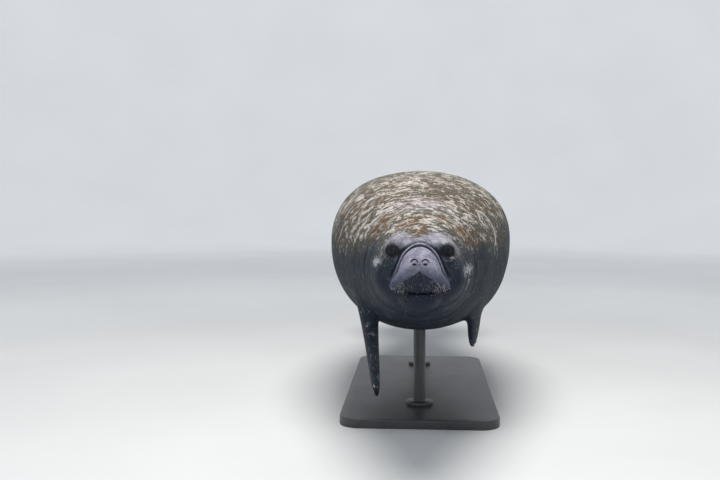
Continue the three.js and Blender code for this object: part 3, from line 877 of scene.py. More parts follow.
def eye_material():
    """A dark brown iris and pupil in a darker, wet ball."""
    material, p, shader = new_material("eyeball", Roughness=0.08, IOR=1.34, Specular_IOR_Level=0.35)
    gaze = attribute(p, "gaze")
    iris = p.noise(900.0, 3.0, 0.6).between(0.3, 0.7).mix((0.005, 0.003, 0.003), (0.012, 0.007, 0.004))
    colour = gaze.between(0.8, 0.86).mix((0.009, 0.008, 0.009), iris)
    colour = gaze.between(0.955, 0.975).mix(colour, (0.0015, 0.0015, 0.002))
    link(colour, shader, "Base Color")
    link(raised(p.noise(260.0, 2.0), 0.0004, 0.25), shader, "Normal")
    return material


def nail_material():
    """Pale horn with fine lines along it."""
    material, p, shader = new_material("nail_horn", IOR=1.5, Specular_IOR_Level=0.45)
    lines = p.stretch(1.0, 1.0, 0.25).noise(700.0, 3.0, 0.6)
    link(lines.between(0.3, 0.7).mix((0.27, 0.24, 0.2), (0.5, 0.46, 0.39)), shader, "Base Color")
    link(lines * 0.2 + 0.32, shader, "Roughness")
    link(raised(lines, 0.0006, 0.6), shader, "Normal")
    return material


def bristle_material():
    """Horn that is dark or pale from one spike to the next."""
    material, p, shader = new_material("bristle_horn", IOR=1.5, Roughness=0.42)
    tone = attribute(p, "tone")
    wobble = p.noise(300.0, 2.0)
    colour = (tone + (wobble - 0.5) * 0.3).between(0.35, 0.65).mix((0.04, 0.04, 0.042), (0.46, 0.46, 0.47))
    link(colour, shader, "Base Color")
    return material


def stand_material():
    """Dark grey paint, a little dusty."""
    material, p, shader = new_material("stand_paint", IOR=1.5, Coat_Weight=0.15, Coat_Roughness=0.3)
    orange_peel = p.noise(650.0, 2.0, 0.5)
    dust = p.noise(9.0, 4.0, 0.6)
    link(dust.between(0.35, 0.75).mix((0.03, 0.032, 0.036), (0.043, 0.045, 0.049)), shader, "Base Color")
    link(0.34 + 0.16 * dust, shader, "Roughness")
    link(raised(orange_peel, 0.0003, 0.5), shader, "Normal")
    return material


def floor_material():
    """Pale matt floor that brightens far off, so that it runs into the wall."""
    material, p, shader = new_material(
        "pale_floor", Roughness=0.8, Specular_IOR_Level=0.3, Emission_Strength=1.0
    )
    tone = p.noise(0.7, 3.0, 0.5)
    link(tone.between(0.3, 0.7).mix((0.62, 0.63, 0.64), (0.66, 0.67, 0.68)), shader, "Base Color")
    far = p.distance_to((0.0, 0.0, 0.0))
    glow = far.between(0.8, 5.0, 0.0, 0.62) + far.between(7.0, 14.0, 0.0, 0.38)
    link(glow.mix((0.0, 0.0, 0.0), (0.34, 0.35, 0.36)), shader, "Emission Color")
    return material


class ManateeLook(bpy.types.PropertyGroup):
    grain: FloatProperty(
        name="Head grain", description="Millimetres between the lines of the grid that the head is drawn on",
        default=5.0, min=3.0, max=12.0,
    )
    back_pale: FloatVectorProperty(
        name="Pale flecks", description="Colour of the pale flecks on the back", subtype="COLOR", size=3,
        default=(0.59, 0.565, 0.53), min=0, max=1,
    )
    back_dark: FloatVectorProperty(
        name="Back", description="Colour of the back between its flecks", subtype="COLOR", size=3,
        default=(0.03, 0.03, 0.022), min=0, max=1,
    )
    algae: FloatVectorProperty(
        name="Algae", description="Colour of the brown algae behind the head", subtype="COLOR", size=3,
        default=(0.27, 0.135, 0.05), min=0, max=1,
    )
    belly: FloatVectorProperty(
        name="Belly", description="Colour of the flanks and belly", subtype="COLOR", size=3,
        default=(0.007, 0.014, 0.025), min=0, max=1,
    )
    muzzle: FloatVectorProperty(
        name="Muzzle", description="Colour of the bare skin of the muzzle", subtype="COLOR", size=3,
        default=(0.115, 0.12, 0.175), min=0, max=1,
    )
    # painted shade: the near-black colour laid into the folds and sockets
    painted_crease_shade: FloatVectorProperty(
        name="Creases", description="Colour deep in the folds and sockets", subtype="COLOR", size=3,
        default=(0.005, 0.006, 0.011), min=0, max=1,
    )
    bristle_length: FloatProperty(
        name="Bristle length", description="Length of the longest bristle on the lips",
        default=0.015, unit="LENGTH", min=0.004, max=0.04,
    )
    bristle_radius: FloatProperty(
        name="Bristle radius", description="Radius of a bristle at its root",
        default=0.0008, unit="LENGTH", min=0.0002, max=0.003,
    )
    bristle_count: IntProperty(
        name="Bristles", description="How many stiff bristles grow on the lips",
        default=620, min=0, max=3000,
    )
    hair_length: FloatProperty(
        name="Hair length", description="Length of the longest hair on the body",
        default=0.013, unit="LENGTH", min=0.002, max=0.05,
    )
    hair_radius: FloatProperty(
        name="Hair radius", description="Radius of a body hair at its root",
        default=0.0002, unit="LENGTH", min=0.0001, max=0.001,
    )
    hair_count: IntProperty(
        name="Hairs", description="How many single hairs are scattered over the body",
        default=2600, min=0, max=9000,
    )


def skin_values(v):
    """Marks on the hide at each vertex, from 0 to 1, that the material mixes its colours by."""
    x, u, z = v.T
    here = trunk(x, u, z)
    way = np.stack([trunk(*(v + 2 * np.eye(3)[k]).T) - here for k in range(3)], 1)
    # up: how far the hide faces upward, lowered on the flippers and below a level along the body; the
    # material makes what faces down darker, partly as painted shade
    up = unit(way)[:, 2]
    on_flipper = np.minimum(flipper(x, u, z, "right"), flipper(x, u, z, "left")) < 6
    arm = np.zeros(len(v))
    for side in FLIPPERS:
        root, along, _, _ = flipper_axes(side)
        arm = np.where(flipper(x, u, z, side) < 12, np.clip((v - root) @ along / FLIPPER_LENGTH, 0, 1), arm)
    border = -np.clip(0.05 * (u - 300), 0, 60) - 1000 * smooth_step(1700, 2100, u)
    up = np.where(on_flipper, -0.4, np.minimum(up, (z - border) / 130))
    place = fold_place(u, z)
    level = mouth_level(x, u)
    chin = smooth_step(10, -12, z - level - 10 * smooth_step(60, 150, u)) * (u < 300)

    # painted shade: the face of the upper lip under its crest, and the lower jaw, are made near black, as
    # shade falls under the lit muzzle
    crest = lip_crest(x)
    lip_face_shade = smooth_step(crest + 3, crest - 9, z) * (1 - smooth_step(62, 96, u))
    dark = np.maximum(lip_face_shade, chin)

    bare = (1 - smooth_step(OUTER_FOLD + 4, OUTER_FOLD + 26, place)) * (1 - chin)
    bare = bare * (1 - smooth_step(2, 12, place - OUTER_FOLD) * smooth_step(-5, -45, z))
    back_to = 172 + 62 * smooth_step(12, 78, np.abs(x)) + 12 * smooth_step(0, 60, x)
    brow = smooth_step(-55, 25, z) * (1 - smooth_step(-45, 62, u - back_to)) * (1 - bare)

    # painted shade: darkening in the muzzle's folds, the eye sockets, the nostril slits and pits, the
    # parting, the mouth line, the neck's folds, and a soft patch under the nostrils
    folds = np.clip(2.3 * np.maximum(bump(place - INNER_FOLD, 10.5), bump(place - OUTER_FOLD, 10.5)), 0, 1)
    folds = folds * smooth_step(FOLD_END, FOLD_END + 34, z)
    off = (np.abs(x) - EYE[0] - 3, 0.6 * (u - EYE[1] + 8), 1.5 * (z - EYE[2]))
    hollow = np.sqrt(off[0] ** 2 + off[1] ** 2 + off[2] ** 2)
    socket = np.clip(2.3 * bump(hollow, 52), 0, 1)
    dx, dz = np.abs(x) - NOSTRIL[0], (z - NOSTRIL[1]) / 0.85
    r = np.hypot(dx, dz)
    slit = np.clip(1.25 * bump(r - NOSTRIL_RADIUS, 4), 0, 1)
    slit = slit * smooth_step(-0.25, 0.4, dz / np.maximum(r, 1e-3))
    pit = bump(np.hypot(dx * 0.75, dz + 6.5), 9)
    plug = 0.25 * bump(r, 12)
    nostril = np.maximum.reduce([slit, np.clip(1.5 * pit, 0, 1), plug]) * (u < 60)
    parting = 0.55 * bump(x, 4.5) * smooth_step(-14, -30, z) * (u < 40)
    mouth = bump(z - level, 5) * (1 - smooth_step(MOUTH_CORNER - 8, MOUTH_CORNER + 14, u))
    neck = np.where((u > 200) & (u < 800), neck_fold_depth(x, u, z) / 55, 0)
    nostril_shade = 0.3 * bump(np.hypot(x * 0.8, z - NOSTRIL[1] + 9), 40) * (u < 80)
    painted_crease_shade = np.clip(np.maximum.reduce([folds, socket, nostril, parting, mouth, neck, nostril_shade]), 0, 1)

    blotches = (
        (-40, 320, 100, 105, 1.0),
        (0, 225, 62, 62, 0.75),
        (-150, 460, 88, 125, 1.0),
        (-200, 450, 50, 110, 0.8),
        (165, 430, 62, 135, 1.0),
        (215, 520, 40, 110, 0.7),
        (60, 395, 122, 85, 0.8),
        (-10, 270, 84, 60, 0.7),
    )
    near = [k[4] * bump(np.linalg.norm(v - k[:3], axis=1), k[3]) for k in blotches]
    body = 0.3 * smooth_step(450, 650, u) * (1 - smooth_step(900, 1700, u))
    algae = np.maximum(np.maximum.reduce(near), body) * smooth_step(-0.1, 0.15, up)
    nape = bump(np.sqrt((x / 200) ** 2 + ((u - 570) / 150) ** 2), 1) * (z > 0)
    scuffs = (
        ((-167, 255, -43), (0.0, 0.5, 1.35), 42, 1.0),
        ((180, 310, -77), (0.0, 0.36, 1.3), 54, 1.0),
        ((172, 330, -128), (0.0, 0.6, 0.8), 36, 0.6),
        ((118, 190, -52), (1.0, 1.0, 1.0), 32, 0.6),
        ((-120, 200, -48), (1.0, 1.0, 1.0), 26, 0.5),
    )
    scuff = [
        w * bump(np.linalg.norm((v - c) * k, axis=1), r) * ((x > 0) == (c[0] > 0)) for c, k, r, w in scuffs
    ]
    scuff = np.maximum.reduce(scuff)
    marks = {"up": up, "bare": bare, "brow": brow, "dark": dark, "painted_crease_shade": painted_crease_shade}
    return {**marks, "algae": algae, "nape": nape, "scuff": scuff, "arm": arm}


def wrinkle(v, way):
    """Moves the hide by the fine lines round the eyes and folds, the throat's folds and the body's swells."""
    x, u, z = v.T
    p = [np.abs(x) - EYE[0], u - EYE[1], z - EYE[2]]
    a, b = (sum(k * w for k, w in zip(p, axis)) for axis in eye_axes()[:2])
    r, turn = np.hypot(a, b), np.arctan2(b, a)
    near = eye_distance(x, u, z) < 60
    rays = 0.35 * np.cos(13 * turn + 1.7 * np.sin(2 * turn) + 0.05 * r) * bump(r - 29, 14) * near
    rings = 0.8 * np.cos(0.62 * r + 0.5 * np.sin(3 * turn)) * bump(r - 32, 22) * near
    place = fold_place(u, z)
    minor = 0.8 * np.cos((place + 3 * np.sin(0.05 * x)) * 0.62) * bump(place - 164, 30)
    minor = minor * smooth_step(-150, -60, z)
    wander = 2.2 * np.sin(0.021 * x + 0.01 * z) + 0.9 * np.sin(0.05 * x)
    throat = 0.8 * np.cos((u + 0.3 * z) * 0.14 + wander) * bump(u - 400, 230)
    throat = throat * (1 - smooth_step(-170, -60, z))
    swell = np.sin(0.021 * u + 0.7 * np.sin(0.011 * x)) + np.sin(0.017 * x + 0.013 * u + 2)
    swell = 1.5 * swell * (u > 300)
    return v + (rays + rings + minor + throat + swell)[:, None] * way


class ManateeSkin(bpy.types.Operator):
    """Build the seamless hide over the body, head, jaw and flippers"""

    bl_idname = "manatee.skin"
    bl_label = "Hide"

    def execute(self, context):
        look = context.scene.manatee_look
        v, tris = skin_mesh(look.grain)
        way = unit(slope(v)[1])
        marks = skin_values(v)
        mesh = fast_mesh("hide", world(wrinkle(v, way)), tris)
        for name, values in marks.items():
            add_value(mesh, name, values)
        mesh.materials.append(hide_material(look))
        hide = place_object("hide", mesh)
        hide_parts(*FLESH)
        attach(hide, "root")
        return {"FINISHED"}


def ball(middle, radius, segments, rings):
    """A closed globe as vertices and faces."""
    verts = [middle + np.array((0, 0, radius))]
    for i in range(1, rings):
        t = math.pi * i / rings
        for j in range(segments):
            s = 2 * math.pi * j / segments
            way = (math.sin(t) * math.cos(s), math.sin(t) * math.sin(s), math.cos(t))
            verts.append(middle + radius * np.array(way))
    verts.append(middle - np.array((0, 0, radius)))
    faces = [(0, 1 + j, 1 + (j + 1) % segments) for j in range(segments)]
    for i in range(rings - 2):
        a, b = 1 + i * segments, 1 + (i + 1) * segments
        faces += [(a + j, b + j, b + (j + 1) % segments, a + (j + 1) % segments) for j in range(segments)]
    last = len(verts) - 1
    a = 1 + (rings - 2) * segments
    faces += [(a + j, last, a + (j + 1) % segments) for j in range(segments)]
    return np.array(verts), faces


class ManateeEyes(bpy.types.Operator):
    """Build the two small dark eyes"""

    bl_idname = "manatee.eyes"
    bl_label = "Eyes"

    def execute(self, context):
        material = eye_material()
        facing = eye_axes()[2]
        for name, side in (("right", -1), ("left", 1)):
            middle = world((side * EYE[0], EYE[1], EYE[2]))
            verts, faces = ball(middle, EYE_RADIUS / 1000, 48, 32)
            out = (verts - middle) / (EYE_RADIUS / 1000)
            gaze = out @ (facing * (side, 1, 1))
            mesh = mesh_from("eyeball_" + name, verts, faces)
            add_value(mesh, "gaze", gaze)
            mesh.shade_smooth()
            mesh.materials.append(material)
            eye = place_object("eyeball_" + name, mesh)
            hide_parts("eye_" + name)
            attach(eye, "root")
        return {"FINISHED"}


def nail_shape(side, share):
    """One oval nail on the outer face of a flipper's tip: a thin domed plate, sunk at its root."""
    root, a, b, c = flipper_axes(side)
    place = FLIPPER_LENGTH - 24 - 34 * share * share
    width, thickness, sweep = blade_sizes(np.array(float(place)))
    part = 0.8 * np.sign(share) * abs(share) ** 0.7
    surface = thickness * math.sqrt(1 - part * part)
    seat = root + place * a + (sweep + part * width) * b + (surface - 1.2) * c
    along = unit(a + 0.45 * share * b)
    out = c + 0.9 * part * b * thickness / max(width, 1)
    out = unit(out - (out @ along) * along)
    sideways = np.cross(along, out)
    verts, faces = ball(np.zeros(3), 1.0, 28, 16)
    long, wide, high = NAIL_REACH
    # the free edge is squarer and flatter than the root
    blunt = 1 + 0.16 * np.clip(verts[:, 1], 0, 1) ** 2
    flat = 1 - 0.25 * verts[:, 1]
    shaped = verts * (wide, long, high) * np.stack([blunt, 1 + 0 * flat, flat], 1)
    points = seat + shaped @ np.stack([sideways, along, out])
    if np.dot(np.cross(sideways, along), out) < 0:
        faces = [f[::-1] for f in faces]
    return points, faces


class ManateeNails(bpy.types.Operator):
    """Build the small nails at the tips of the flippers"""

    bl_idname = "manatee.nails"
    bl_label = "Nails"

    def execute(self, context):
        material = nail_material()
        for side in FLIPPERS:
            verts, faces = [], []
            for share in np.linspace(-1, 1, NAILS_PER_FLIPPER):
                points, shape = nail_shape(side, share)
                faces += [tuple(k + len(verts) for k in f) for f in shape]
                verts += [tuple(p) for p in world(points)]
            mesh = mesh_from("nails_" + side, verts, faces)
            mesh.shade_smooth()
            mesh.materials.append(material)
            nails = place_object("nails_" + side, mesh)
            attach(nails, "root")
        return {"FINISHED"}


def spike_tree(name, sides, steps):
    """A node group that grows a bent, tapered spike on each point of a mesh, along the point's own lie."""
    tree = bpy.data.node_groups.new(name, "GeometryNodeTree")
    face = tree.interface
    face.new_socket("Geometry", in_out="INPUT", socket_type="NodeSocketGeometry")
    for label, kind, value in (
        ("Length", "NodeSocketFloat", 0.01),
        ("Root radius", "NodeSocketFloat", 0.0005),
        ("Bend", "NodeSocketFloat", 0.2),
        ("Seed", "NodeSocketInt", 0),
        ("Material", "NodeSocketMaterial", None),
    ):
        made = face.new_socket(label, in_out="INPUT", socket_type=kind)
        if value is not None:
            made.default_value = value
    face.new_socket("Geometry", in_out="OUTPUT", socket_type="NodeSocketGeometry")

    def add(kind, settings=(), inputs=()):
        made = tree.nodes.new(kind)
        for key, value in dict(settings).items():
            setattr(made, key, value)
        for key, value in dict(inputs).items():
            if isinstance(value, bpy.types.NodeSocket):
                tree.links.new(value, made.inputs[key])
            else:
                made.inputs[key].default_value = value
        return made

    given = add("NodeGroupInput").outputs
    times = {"operation": "MULTIPLY"}
    half = add("ShaderNodeMath", times, {0: given["Length"], 1: 0.5}).outputs[0]
    lean = add("ShaderNodeMath", times, {0: given["Length"], 1: given["Bend"]}).outputs[0]
    middle = add("ShaderNodeCombineXYZ", {}, {2: half}).outputs[0]
    tip = add("ShaderNodeCombineXYZ", {}, {0: lean, 2: given["Length"]}).outputs[0]
    bow = {"Resolution": steps, "Start": (0, 0, 0), "Middle": middle, "End": tip}
    line = add("GeometryNodeCurveQuadraticBezier", {}, bow).outputs[0]
    along = add("GeometryNodeSplineParameter").outputs["Factor"]
    taper = add("ShaderNodeMath", {"operation": "MULTIPLY_ADD"}, {0: along, 1: -0.88, 2: 1.0}).outputs[0]
    radius = add("ShaderNodeMath", times, {0: taper, 1: given["Root radius"]}).outputs[0]
    thick = add("GeometryNodeSetCurveRadius", {}, {"Curve": line, "Radius": radius}).outputs[0]
    ring = add("GeometryNodeCurvePrimitiveCircle", {}, {"Resolution": sides, "Radius": 1.0}).outputs[0]
    spike = add("GeometryNodeCurveToMesh", {}, {"Curve": thick, "Profile Curve": ring, "Fill Caps": True})
    for socket in spike.inputs:
        if socket.name == "Scale":
            tree.links.new(radius, socket)
    points = add("GeometryNodeMeshToPoints", {}, {"Mesh": given["Geometry"], "Radius": 0.001}).outputs[0]
    stored = "GeometryNodeInputNamedAttribute"
    lie = add(stored, {"data_type": "FLOAT_VECTOR"}, {"Name": "lie"}).outputs[0]
    size = add(stored, {"data_type": "FLOAT"}, {"Name": "size"}).outputs[0]
    circle = {"Min": 0.0, "Max": 6.283, "Seed": given["Seed"]}
    spin = add("FunctionNodeRandomValue", {"data_type": "FLOAT"}, circle)
    spin_out = [k for k in spin.outputs if k.type == "VALUE" and k.enabled][0]
    turn = add("FunctionNodeAxisAngleToRotation", {}, {"Axis": (0, 0, 1), "Angle": spin_out}).outputs[0]
    aligned = add("FunctionNodeAlignRotationToVector", {"axis": "Z"}, {"Vector": lie}).outputs[0]
    local = {"rotation_space": "LOCAL"}
    rotation = add("FunctionNodeRotateRotation", local, {0: aligned, 1: turn}).outputs[0]
    placed = {"Points": points, "Instance": spike.outputs[0], "Rotation": rotation, "Scale": size}
    grown = add("GeometryNodeInstanceOnPoints", {}, placed).outputs[0]
    solid = add("GeometryNodeRealizeInstances", {}, {0: grown}).outputs[0]
    smooth = add("GeometryNodeSetShadeSmooth", {}, {0: solid}).outputs[0]
    paint = {"Geometry": smooth, "Material": given["Material"]}
    painted = add("GeometryNodeSetMaterial", {}, paint).outputs[0]
    tree.links.new(painted, add("NodeGroupOutput").inputs[0])
    return tree


def grow_spikes(name, roots, lie, size, tone, tree, values, material):
    """Spikes on root places, made one plain mesh with its bake map."""
    seeds = bpy.data.meshes.new(name + "_roots")
    seeds.from_pydata([tuple(p) for p in world(roots)], [], [])
    turn = np.arctan2(roots[:, 0], roots[:, 2] + 60)
    patch = np.stack([0.5 + turn / (2 * math.pi) * 0.96, 0.02 + 0.96 * roots[:, 1] / LENGTH, 0 * turn], 1)
    for label, data in (("lie", lie), ("size", size), ("tone", tone), ("patch", patch)):
        add_value(seeds, label, data)
    grower = place_object(name + "_grower", seeds)
    modifier = grower.modifiers.new("Grow", "NODES")
    modifier.node_group = tree
    ids = {k.name: k.identifier for k in tree.interface.items_tree if k.in_out == "INPUT"}
    for label, value in values.items():
        modifier[ids[label]] = value
    modifier[ids["Material"]] = material
    graph = bpy.context.evaluated_depsgraph_get()
    mesh = bpy.data.meshes.new_from_object(grower.evaluated_get(graph), depsgraph=graph)
    mesh.name = name
    grower.modifiers.remove(modifier)
    bpy.data.objects.remove(grower)
    piece = place_object(name, mesh)
    where = np.zeros(3 * len(mesh.vertices), np.float32)
    mesh.attributes["patch"].data.foreach_get("vector", where)
    corner = np.zeros(len(mesh.loops), np.int32)
    mesh.loops.foreach_get("vertex_index", corner)
    wheel = corner * 2.399
    uv = where.reshape(-1, 3)[corner, :2] + 0.0015 * np.stack([np.cos(wheel), np.sin(wheel)], 1)
    layer = mesh.uv_layers.new(name="OFBake")
    layer.data.foreach_set("uv", uv.astype(np.float32).ravel())
    if not mesh.materials:
        mesh.materials.append(material)
    return piece


def scatter(rng, count, keep):
    """Places on the hide, drawn evenly over its area and thinned by keep, with the way out there."""
    mesh = bpy.data.objects["hide"].data
    v = np.zeros(3 * len(mesh.vertices), np.float32)
    mesh.vertices.foreach_get("co", v)
    v = v.reshape(-1, 3).astype(float) * 1000 - (0, SNOUT_Y, EYE_HEIGHT)
    t = np.zeros(3 * len(mesh.polygons), np.int32)
    mesh.loops.foreach_get("vertex_index", t)
    t = t.reshape(-1, 3)
    a, b, c = v[t[:, 0]], v[t[:, 1]], v[t[:, 2]]
    share = keep((a + b + c) / 3)
    normal = np.cross(b - a, c - a)
    weight = np.linalg.norm(normal, axis=1) * share
    pick = rng.choice(len(t), count, p=weight / weight.sum())
    s, r = np.sqrt(rng.random(count)), rng.random(count)
    place = (1 - s)[:, None] * a[pick] + (s * (1 - r))[:, None] * b[pick] + (s * r)[:, None] * c[pick]
    out = normal[pick] / np.linalg.norm(normal[pick], axis=1)[:, None]
    return place, out


def lip_share(v):
    """Where stiff bristles grow: under the upper lip's crest, most at its corners, and on the lower lip."""
    x, u, z = np.abs(v[:, 0]), v[:, 1], v[:, 2]
    crest = lip_crest(x)
    level = mouth_level(x, u)
    upper = smooth_step(crest + 6, crest - 6, z) * (z > level + 4) * (u < 78)
    corner = 0.35 + 1.6 * smooth_step(25, 85, x)
    lower = 0.5 * (z < level - 4) * (z > level - 26) * (u < 92) * (x < 52)
    return upper * corner + lower


class ManateeBristles(bpy.types.Operator):
    """Grow the stiff bristles of the lips"""

    bl_idname = "manatee.bristles"
    bl_label = "Bristles"

    def execute(self, context):
        look = context.scene.manatee_look
        rng = np.random.default_rng(41)
        roots, out = scatter(rng, look.bristle_count, lip_share)
        side = np.sign(roots[:, 0])
        across = np.abs(roots[:, 0])
        lie = out * 0.9 + np.stack([0.35 * side * across / 80, 0 * side - 0.25, 0 * side - 0.45], 1)
        lie += rng.normal(0, 0.16, lie.shape)
        size = rng.uniform(0.45, 1.0, len(roots)) * (0.6 + 0.4 * smooth_step(20, 80, across))
        tone = np.clip(rng.normal(0.55, 0.3, len(roots)), 0, 1)
        values = {"Length": look.bristle_length, "Root radius": look.bristle_radius, "Bend": 0.22, "Seed": 7}
        tree, material = spike_tree("Bristles", 6, 4), bristle_material()
        piece = grow_spikes("lip_bristles", roots - 1.5 * out, lie, size, tone, tree, values, material)
        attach(piece, "root")
        return {"FINISHED"}


def hair_share(v):
    """Where single hairs grow: all over, closest on the muzzle, none in the eyes' sockets."""
    x, u, z = v.T
    muzzle = 26 * (fold_place(u, z) < INNER_FOLD) * (u < 110)
    return (1 + muzzle + 1.5 * (u < 300)) * (eye_distance(x, u, z) > 34)


class ManateeHairs(bpy.types.Operator):
    """Scatter the sparse single hairs of the body and muzzle"""

    bl_idname = "manatee.hairs"
    bl_label = "Hairs"

    def execute(self, context):
        look = context.scene.manatee_look
        rng = np.random.default_rng(97)
        roots, out = scatter(rng, look.hair_count, hair_share)
        lie = out + np.array((0, 0.55, -0.12)) + rng.normal(0, 0.14, roots.shape)
        on_muzzle = fold_place(roots[:, 1], roots[:, 2]) < INNER_FOLD
        size = rng.uniform(0.5, 1.0, len(roots)) * np.where(on_muzzle, 0.32, 1.0)
        tone = np.clip(rng.normal(0.6, 0.25, len(roots)), 0, 1)
        values = {"Length": look.hair_length, "Root radius": look.hair_radius, "Bend": 0.3, "Seed": 3}
        tree = spike_tree("Hairs", 4, 3)
        material = bpy.data.materials.get("bristle_horn") or bristle_material()
        piece = grow_spikes("body_hairs", roots - 0.8 * out, lie, size, tone, tree, values, material)
        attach(piece, "root")
        return {"FINISHED"}


def turned(profile, middle, segments):
    """A shape turned round an upright axis, from its lowest to its highest point, as vertices and faces."""
    verts, faces = [(middle[0], middle[1], profile[0][1])], []
    for radius, height in profile:
        for j in range(segments):
            t = 2 * math.pi * j / segments
            verts.append((middle[0] + radius * math.cos(t), middle[1] + radius * math.sin(t), height))
    verts.append((middle[0], middle[1], profile[-1][1]))
    faces += [(0, 1 + (j + 1) % segments, 1 + j) for j in range(segments)]
    for i in range(len(profile) - 1):
        a, b = 1 + i * segments, 1 + (i + 1) * segments
        faces += [(a + j, a + (j + 1) % segments, b + (j + 1) % segments, b + j) for j in range(segments)]
    a, last = 1 + (len(profile) - 1) * segments, len(verts) - 1
    faces += [(a + j, a + (j + 1) % segments, last) for j in range(segments)]
    return verts, faces


def rounded_slab(width, length, height, corner, edge):
    """A slab with round corners and softened edges, as vertices and faces."""
    outline = []
    for k, (sx, sy) in enumerate(((1, 1), (-1, 1), (-1, -1), (1, -1))):
        for t in np.linspace(k * math.pi / 2, (k + 1) * math.pi / 2, 15):
            centre = (sx * (width / 2 - corner), sy * (length / 2 - corner))
            outline.append((centre, (math.cos(t), math.sin(t))))
    rings = [(edge * (1 - math.sin(t)), edge * (1 - math.cos(t))) for t in np.linspace(0, math.pi / 2, 6)]
    profile = rings + [(inset, height - z) for inset, z in reversed(rings)]
    verts, faces = [], []
    for inset, z in profile:
        for (cx, cy), (dx, dy) in outline:
            verts.append((cx + (corner - inset) * dx, cy + (corner - inset) * dy, z))
    n = len(outline)
    for i in range(len(profile) - 1):
        for j in range(n):
            a, b = i * n + j, i * n + (j + 1) % n
            faces.append((a, b, b + n, a + n))
    faces.append(tuple(reversed(range(n))))
    faces.append(tuple(range((len(profile) - 1) * n, len(profile) * n)))
    return verts, faces


class ManateeStand(bpy.types.Operator):
    """Build the flat base and the two rods that hold the animal up"""

    bl_idname = "manatee.stand"
    bl_label = "Display stand"

    def execute(self, context):
        material = stand_material()
        middle_y = (SNOUT_Y + BASE_CENTRE) / 1000
        verts, faces = rounded_slab(*BASE, BASE_CORNER, BASE_EDGE)
        verts = [(x, y + middle_y, z) for x, y, z in verts]
        base = place_object("display_base", mesh_from("display_base", verts, faces))
        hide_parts("stand_base")
        pieces = [base]
        floor = BASE[2] + GAP / 1000
        for name, place in zip(("front", "rear"), ROD_PLACES):
            _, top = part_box("stand_rod_" + name)
            r, foot, h = ROD_RADIUS / 1000, FOOT_RADIUS / 1000, FOOT_HEIGHT / 1000
            profile = [(foot - 0.0015, floor), (foot, floor + 0.0015), (foot, floor + h - 0.003)]
            profile += [(foot - 0.001, floor + h - 0.001), (foot - 0.003, floor + h)]
            sweep = np.linspace(0, math.pi / 2, 6)
            profile += [
                (r + FILLET * (1 - math.sin(t)), floor + h + FILLET * (1 - math.cos(t))) for t in sweep
            ]
            profile += [(r, top.z + 0.006)]
            made = turned(profile, (0, (SNOUT_Y + place) / 1000), 64)
            rod = place_object("display_rod_" + name, mesh_from("display_rod_" + name, *made))
            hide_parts("stand_rod_" + name)
            pieces.append(rod)
        for piece in pieces:
            for polygon in piece.data.polygons:
                polygon.use_smooth = True
            piece.data.set_sharp_from_angle(angle=math.radians(40))
            piece.data.materials.append(material)
            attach(piece, "root")
        return {"FINISHED"}


# The camera, from the photo's perspective: focal length in the picture's pixels, place and turn.
FOCAL_PIXELS = 869
CAMERA_PLACE = (0.0, (SNOUT_Y + 1400 - 4370) / 1000, 1.005)
CAMERA_DOWN = math.radians(3)
CAMERA_LEFT = math.atan(60 / FOCAL_PIXELS)
PICTURE_WIDTH = 720
SENSOR_WIDTH = 36

# The room, in metres.
FLOOR_FLAT = 12.0
FLOOR_BEND = 6.0
WALL_TOP = 14.0
FLOOR_SEGMENTS = 96


class ManateeCamera(bpy.types.Operator):
    """Set the camera where the photograph was taken from"""

    bl_idname = "manatee.camera"
    bl_label = "Camera"

    def execute(self, context):
        data = bpy.data.cameras.new("photo_camera")
        data.sensor_width = SENSOR_WIDTH
        data.lens = SENSOR_WIDTH * FOCAL_PIXELS / PICTURE_WIDTH
        camera = bpy.data.objects.new("photo_camera", data)
        camera.location = CAMERA_PLACE
        camera.rotation_euler = (math.pi / 2 - CAMERA_DOWN, 0, CAMERA_LEFT)
        context.scene.collection.objects.link(camera)
        context.scene.camera = camera
        return {"FINISHED"}


def soft_light(name, place, target, size, power, colour=(1, 1, 1)):
    """A round soft lamp, aimed at a place."""
    data = bpy.data.lights.new(name, "AREA")
    data.shape = "DISK"
    data.size = size
    data.energy = power
    data.color = colour
    lamp = bpy.data.objects.new(name, data)
    lamp.visible_camera = False
    lamp.location = place
    lamp.rotation_euler = (Vector(target) - Vector(place)).to_track_quat("-Z", "Y").to_euler()
    bpy.context.scene.collection.objects.link(lamp)


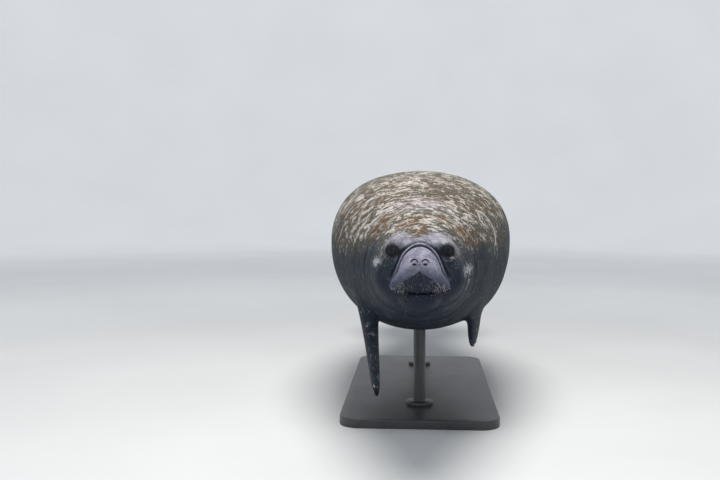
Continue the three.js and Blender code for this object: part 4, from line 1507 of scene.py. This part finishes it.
class ManateeStage(bpy.types.Operator):
    """Lay the pale floor and hang the soft lights"""

    bl_idname = "manatee.stage"
    bl_label = "Stage"

    def execute(self, context):
        # a wide flat bowl without a lid: its wall is the room's
        rings = [(0.4, 0.0), (3.0, 0.0), (7.0, 0.0)]
        rings += [
            (FLOOR_FLAT + FLOOR_BEND * math.sin(t), FLOOR_BEND - FLOOR_BEND * math.cos(t))
            for t in np.linspace(0, math.pi / 2, 16)
        ]
        rings.append((FLOOR_FLAT + FLOOR_BEND, WALL_TOP))
        verts, faces = turned(rings, (0, 0), FLOOR_SEGMENTS)
        faces = faces[:-FLOOR_SEGMENTS]
        verts.pop()
        mesh = mesh_from("floor", verts, [f[::-1] for f in faces])
        mesh.shade_smooth()
        mesh.materials.append(floor_material())
        place_object("floor", mesh)
        room = bpy.data.worlds.new("room")
        context.scene.world = room
        room.use_nodes = True
        air = room.node_tree.nodes["Background"].inputs
        air["Color"].default_value = (0.86, 0.92, 1.0, 1)
        air["Strength"].default_value = 0.29
        soft_light("overhead", (0.0, -1.0, 4.4), (0, -0.5, 0.8), 2.2, 205, (1.0, 0.97, 0.92))
        soft_light("front", (-1.2, -5.0, 3.9), (0, -1.4, 0.8), 1.6, 45)
        context.scene.view_settings.view_transform = "Standard"
        context.scene.view_settings.look = "None"
        return {"FINISHED"}


OPERATORS = (
    ManateeCamera,
    ManateeStage,
    ManateeStand,
    ManateeSkin,
    ManateeEyes,
    ManateeNails,
    ManateeBristles,
    ManateeHairs,
)


class ManateePanel(bpy.types.Panel):
    """Lists the manatee's pieces and its sizes and colours"""

    bl_idname = "VIEW3D_PT_manatee"
    bl_label = "Manatee on a stand"
    bl_space_type = "VIEW_3D"
    bl_region_type = "UI"
    bl_category = "Manatee"

    def draw(self, context):
        look = context.scene.manatee_look
        for name in look.__annotations__:
            self.layout.prop(look, name)
        for operator in OPERATORS:
            self.layout.operator(operator.bl_idname)


CLASSES = (ManateeLook, *OPERATORS, ManateePanel)


def register():
    """Makes the add-on's classes known."""
    for kind in CLASSES:
        bpy.utils.register_class(kind)
    bpy.types.Scene.manatee_look = PointerProperty(type=ManateeLook)


def unregister():
    """Takes them away again."""
    del bpy.types.Scene.manatee_look
    for kind in reversed(CLASSES):
        bpy.utils.unregister_class(kind)


def main():
    """Builds everything in order."""
    register()
    for operator in OPERATORS:
        group, name = operator.bl_idname.split(".")
        getattr(getattr(bpy.ops, group), name)()


if __name__ == "__main__":
    main()
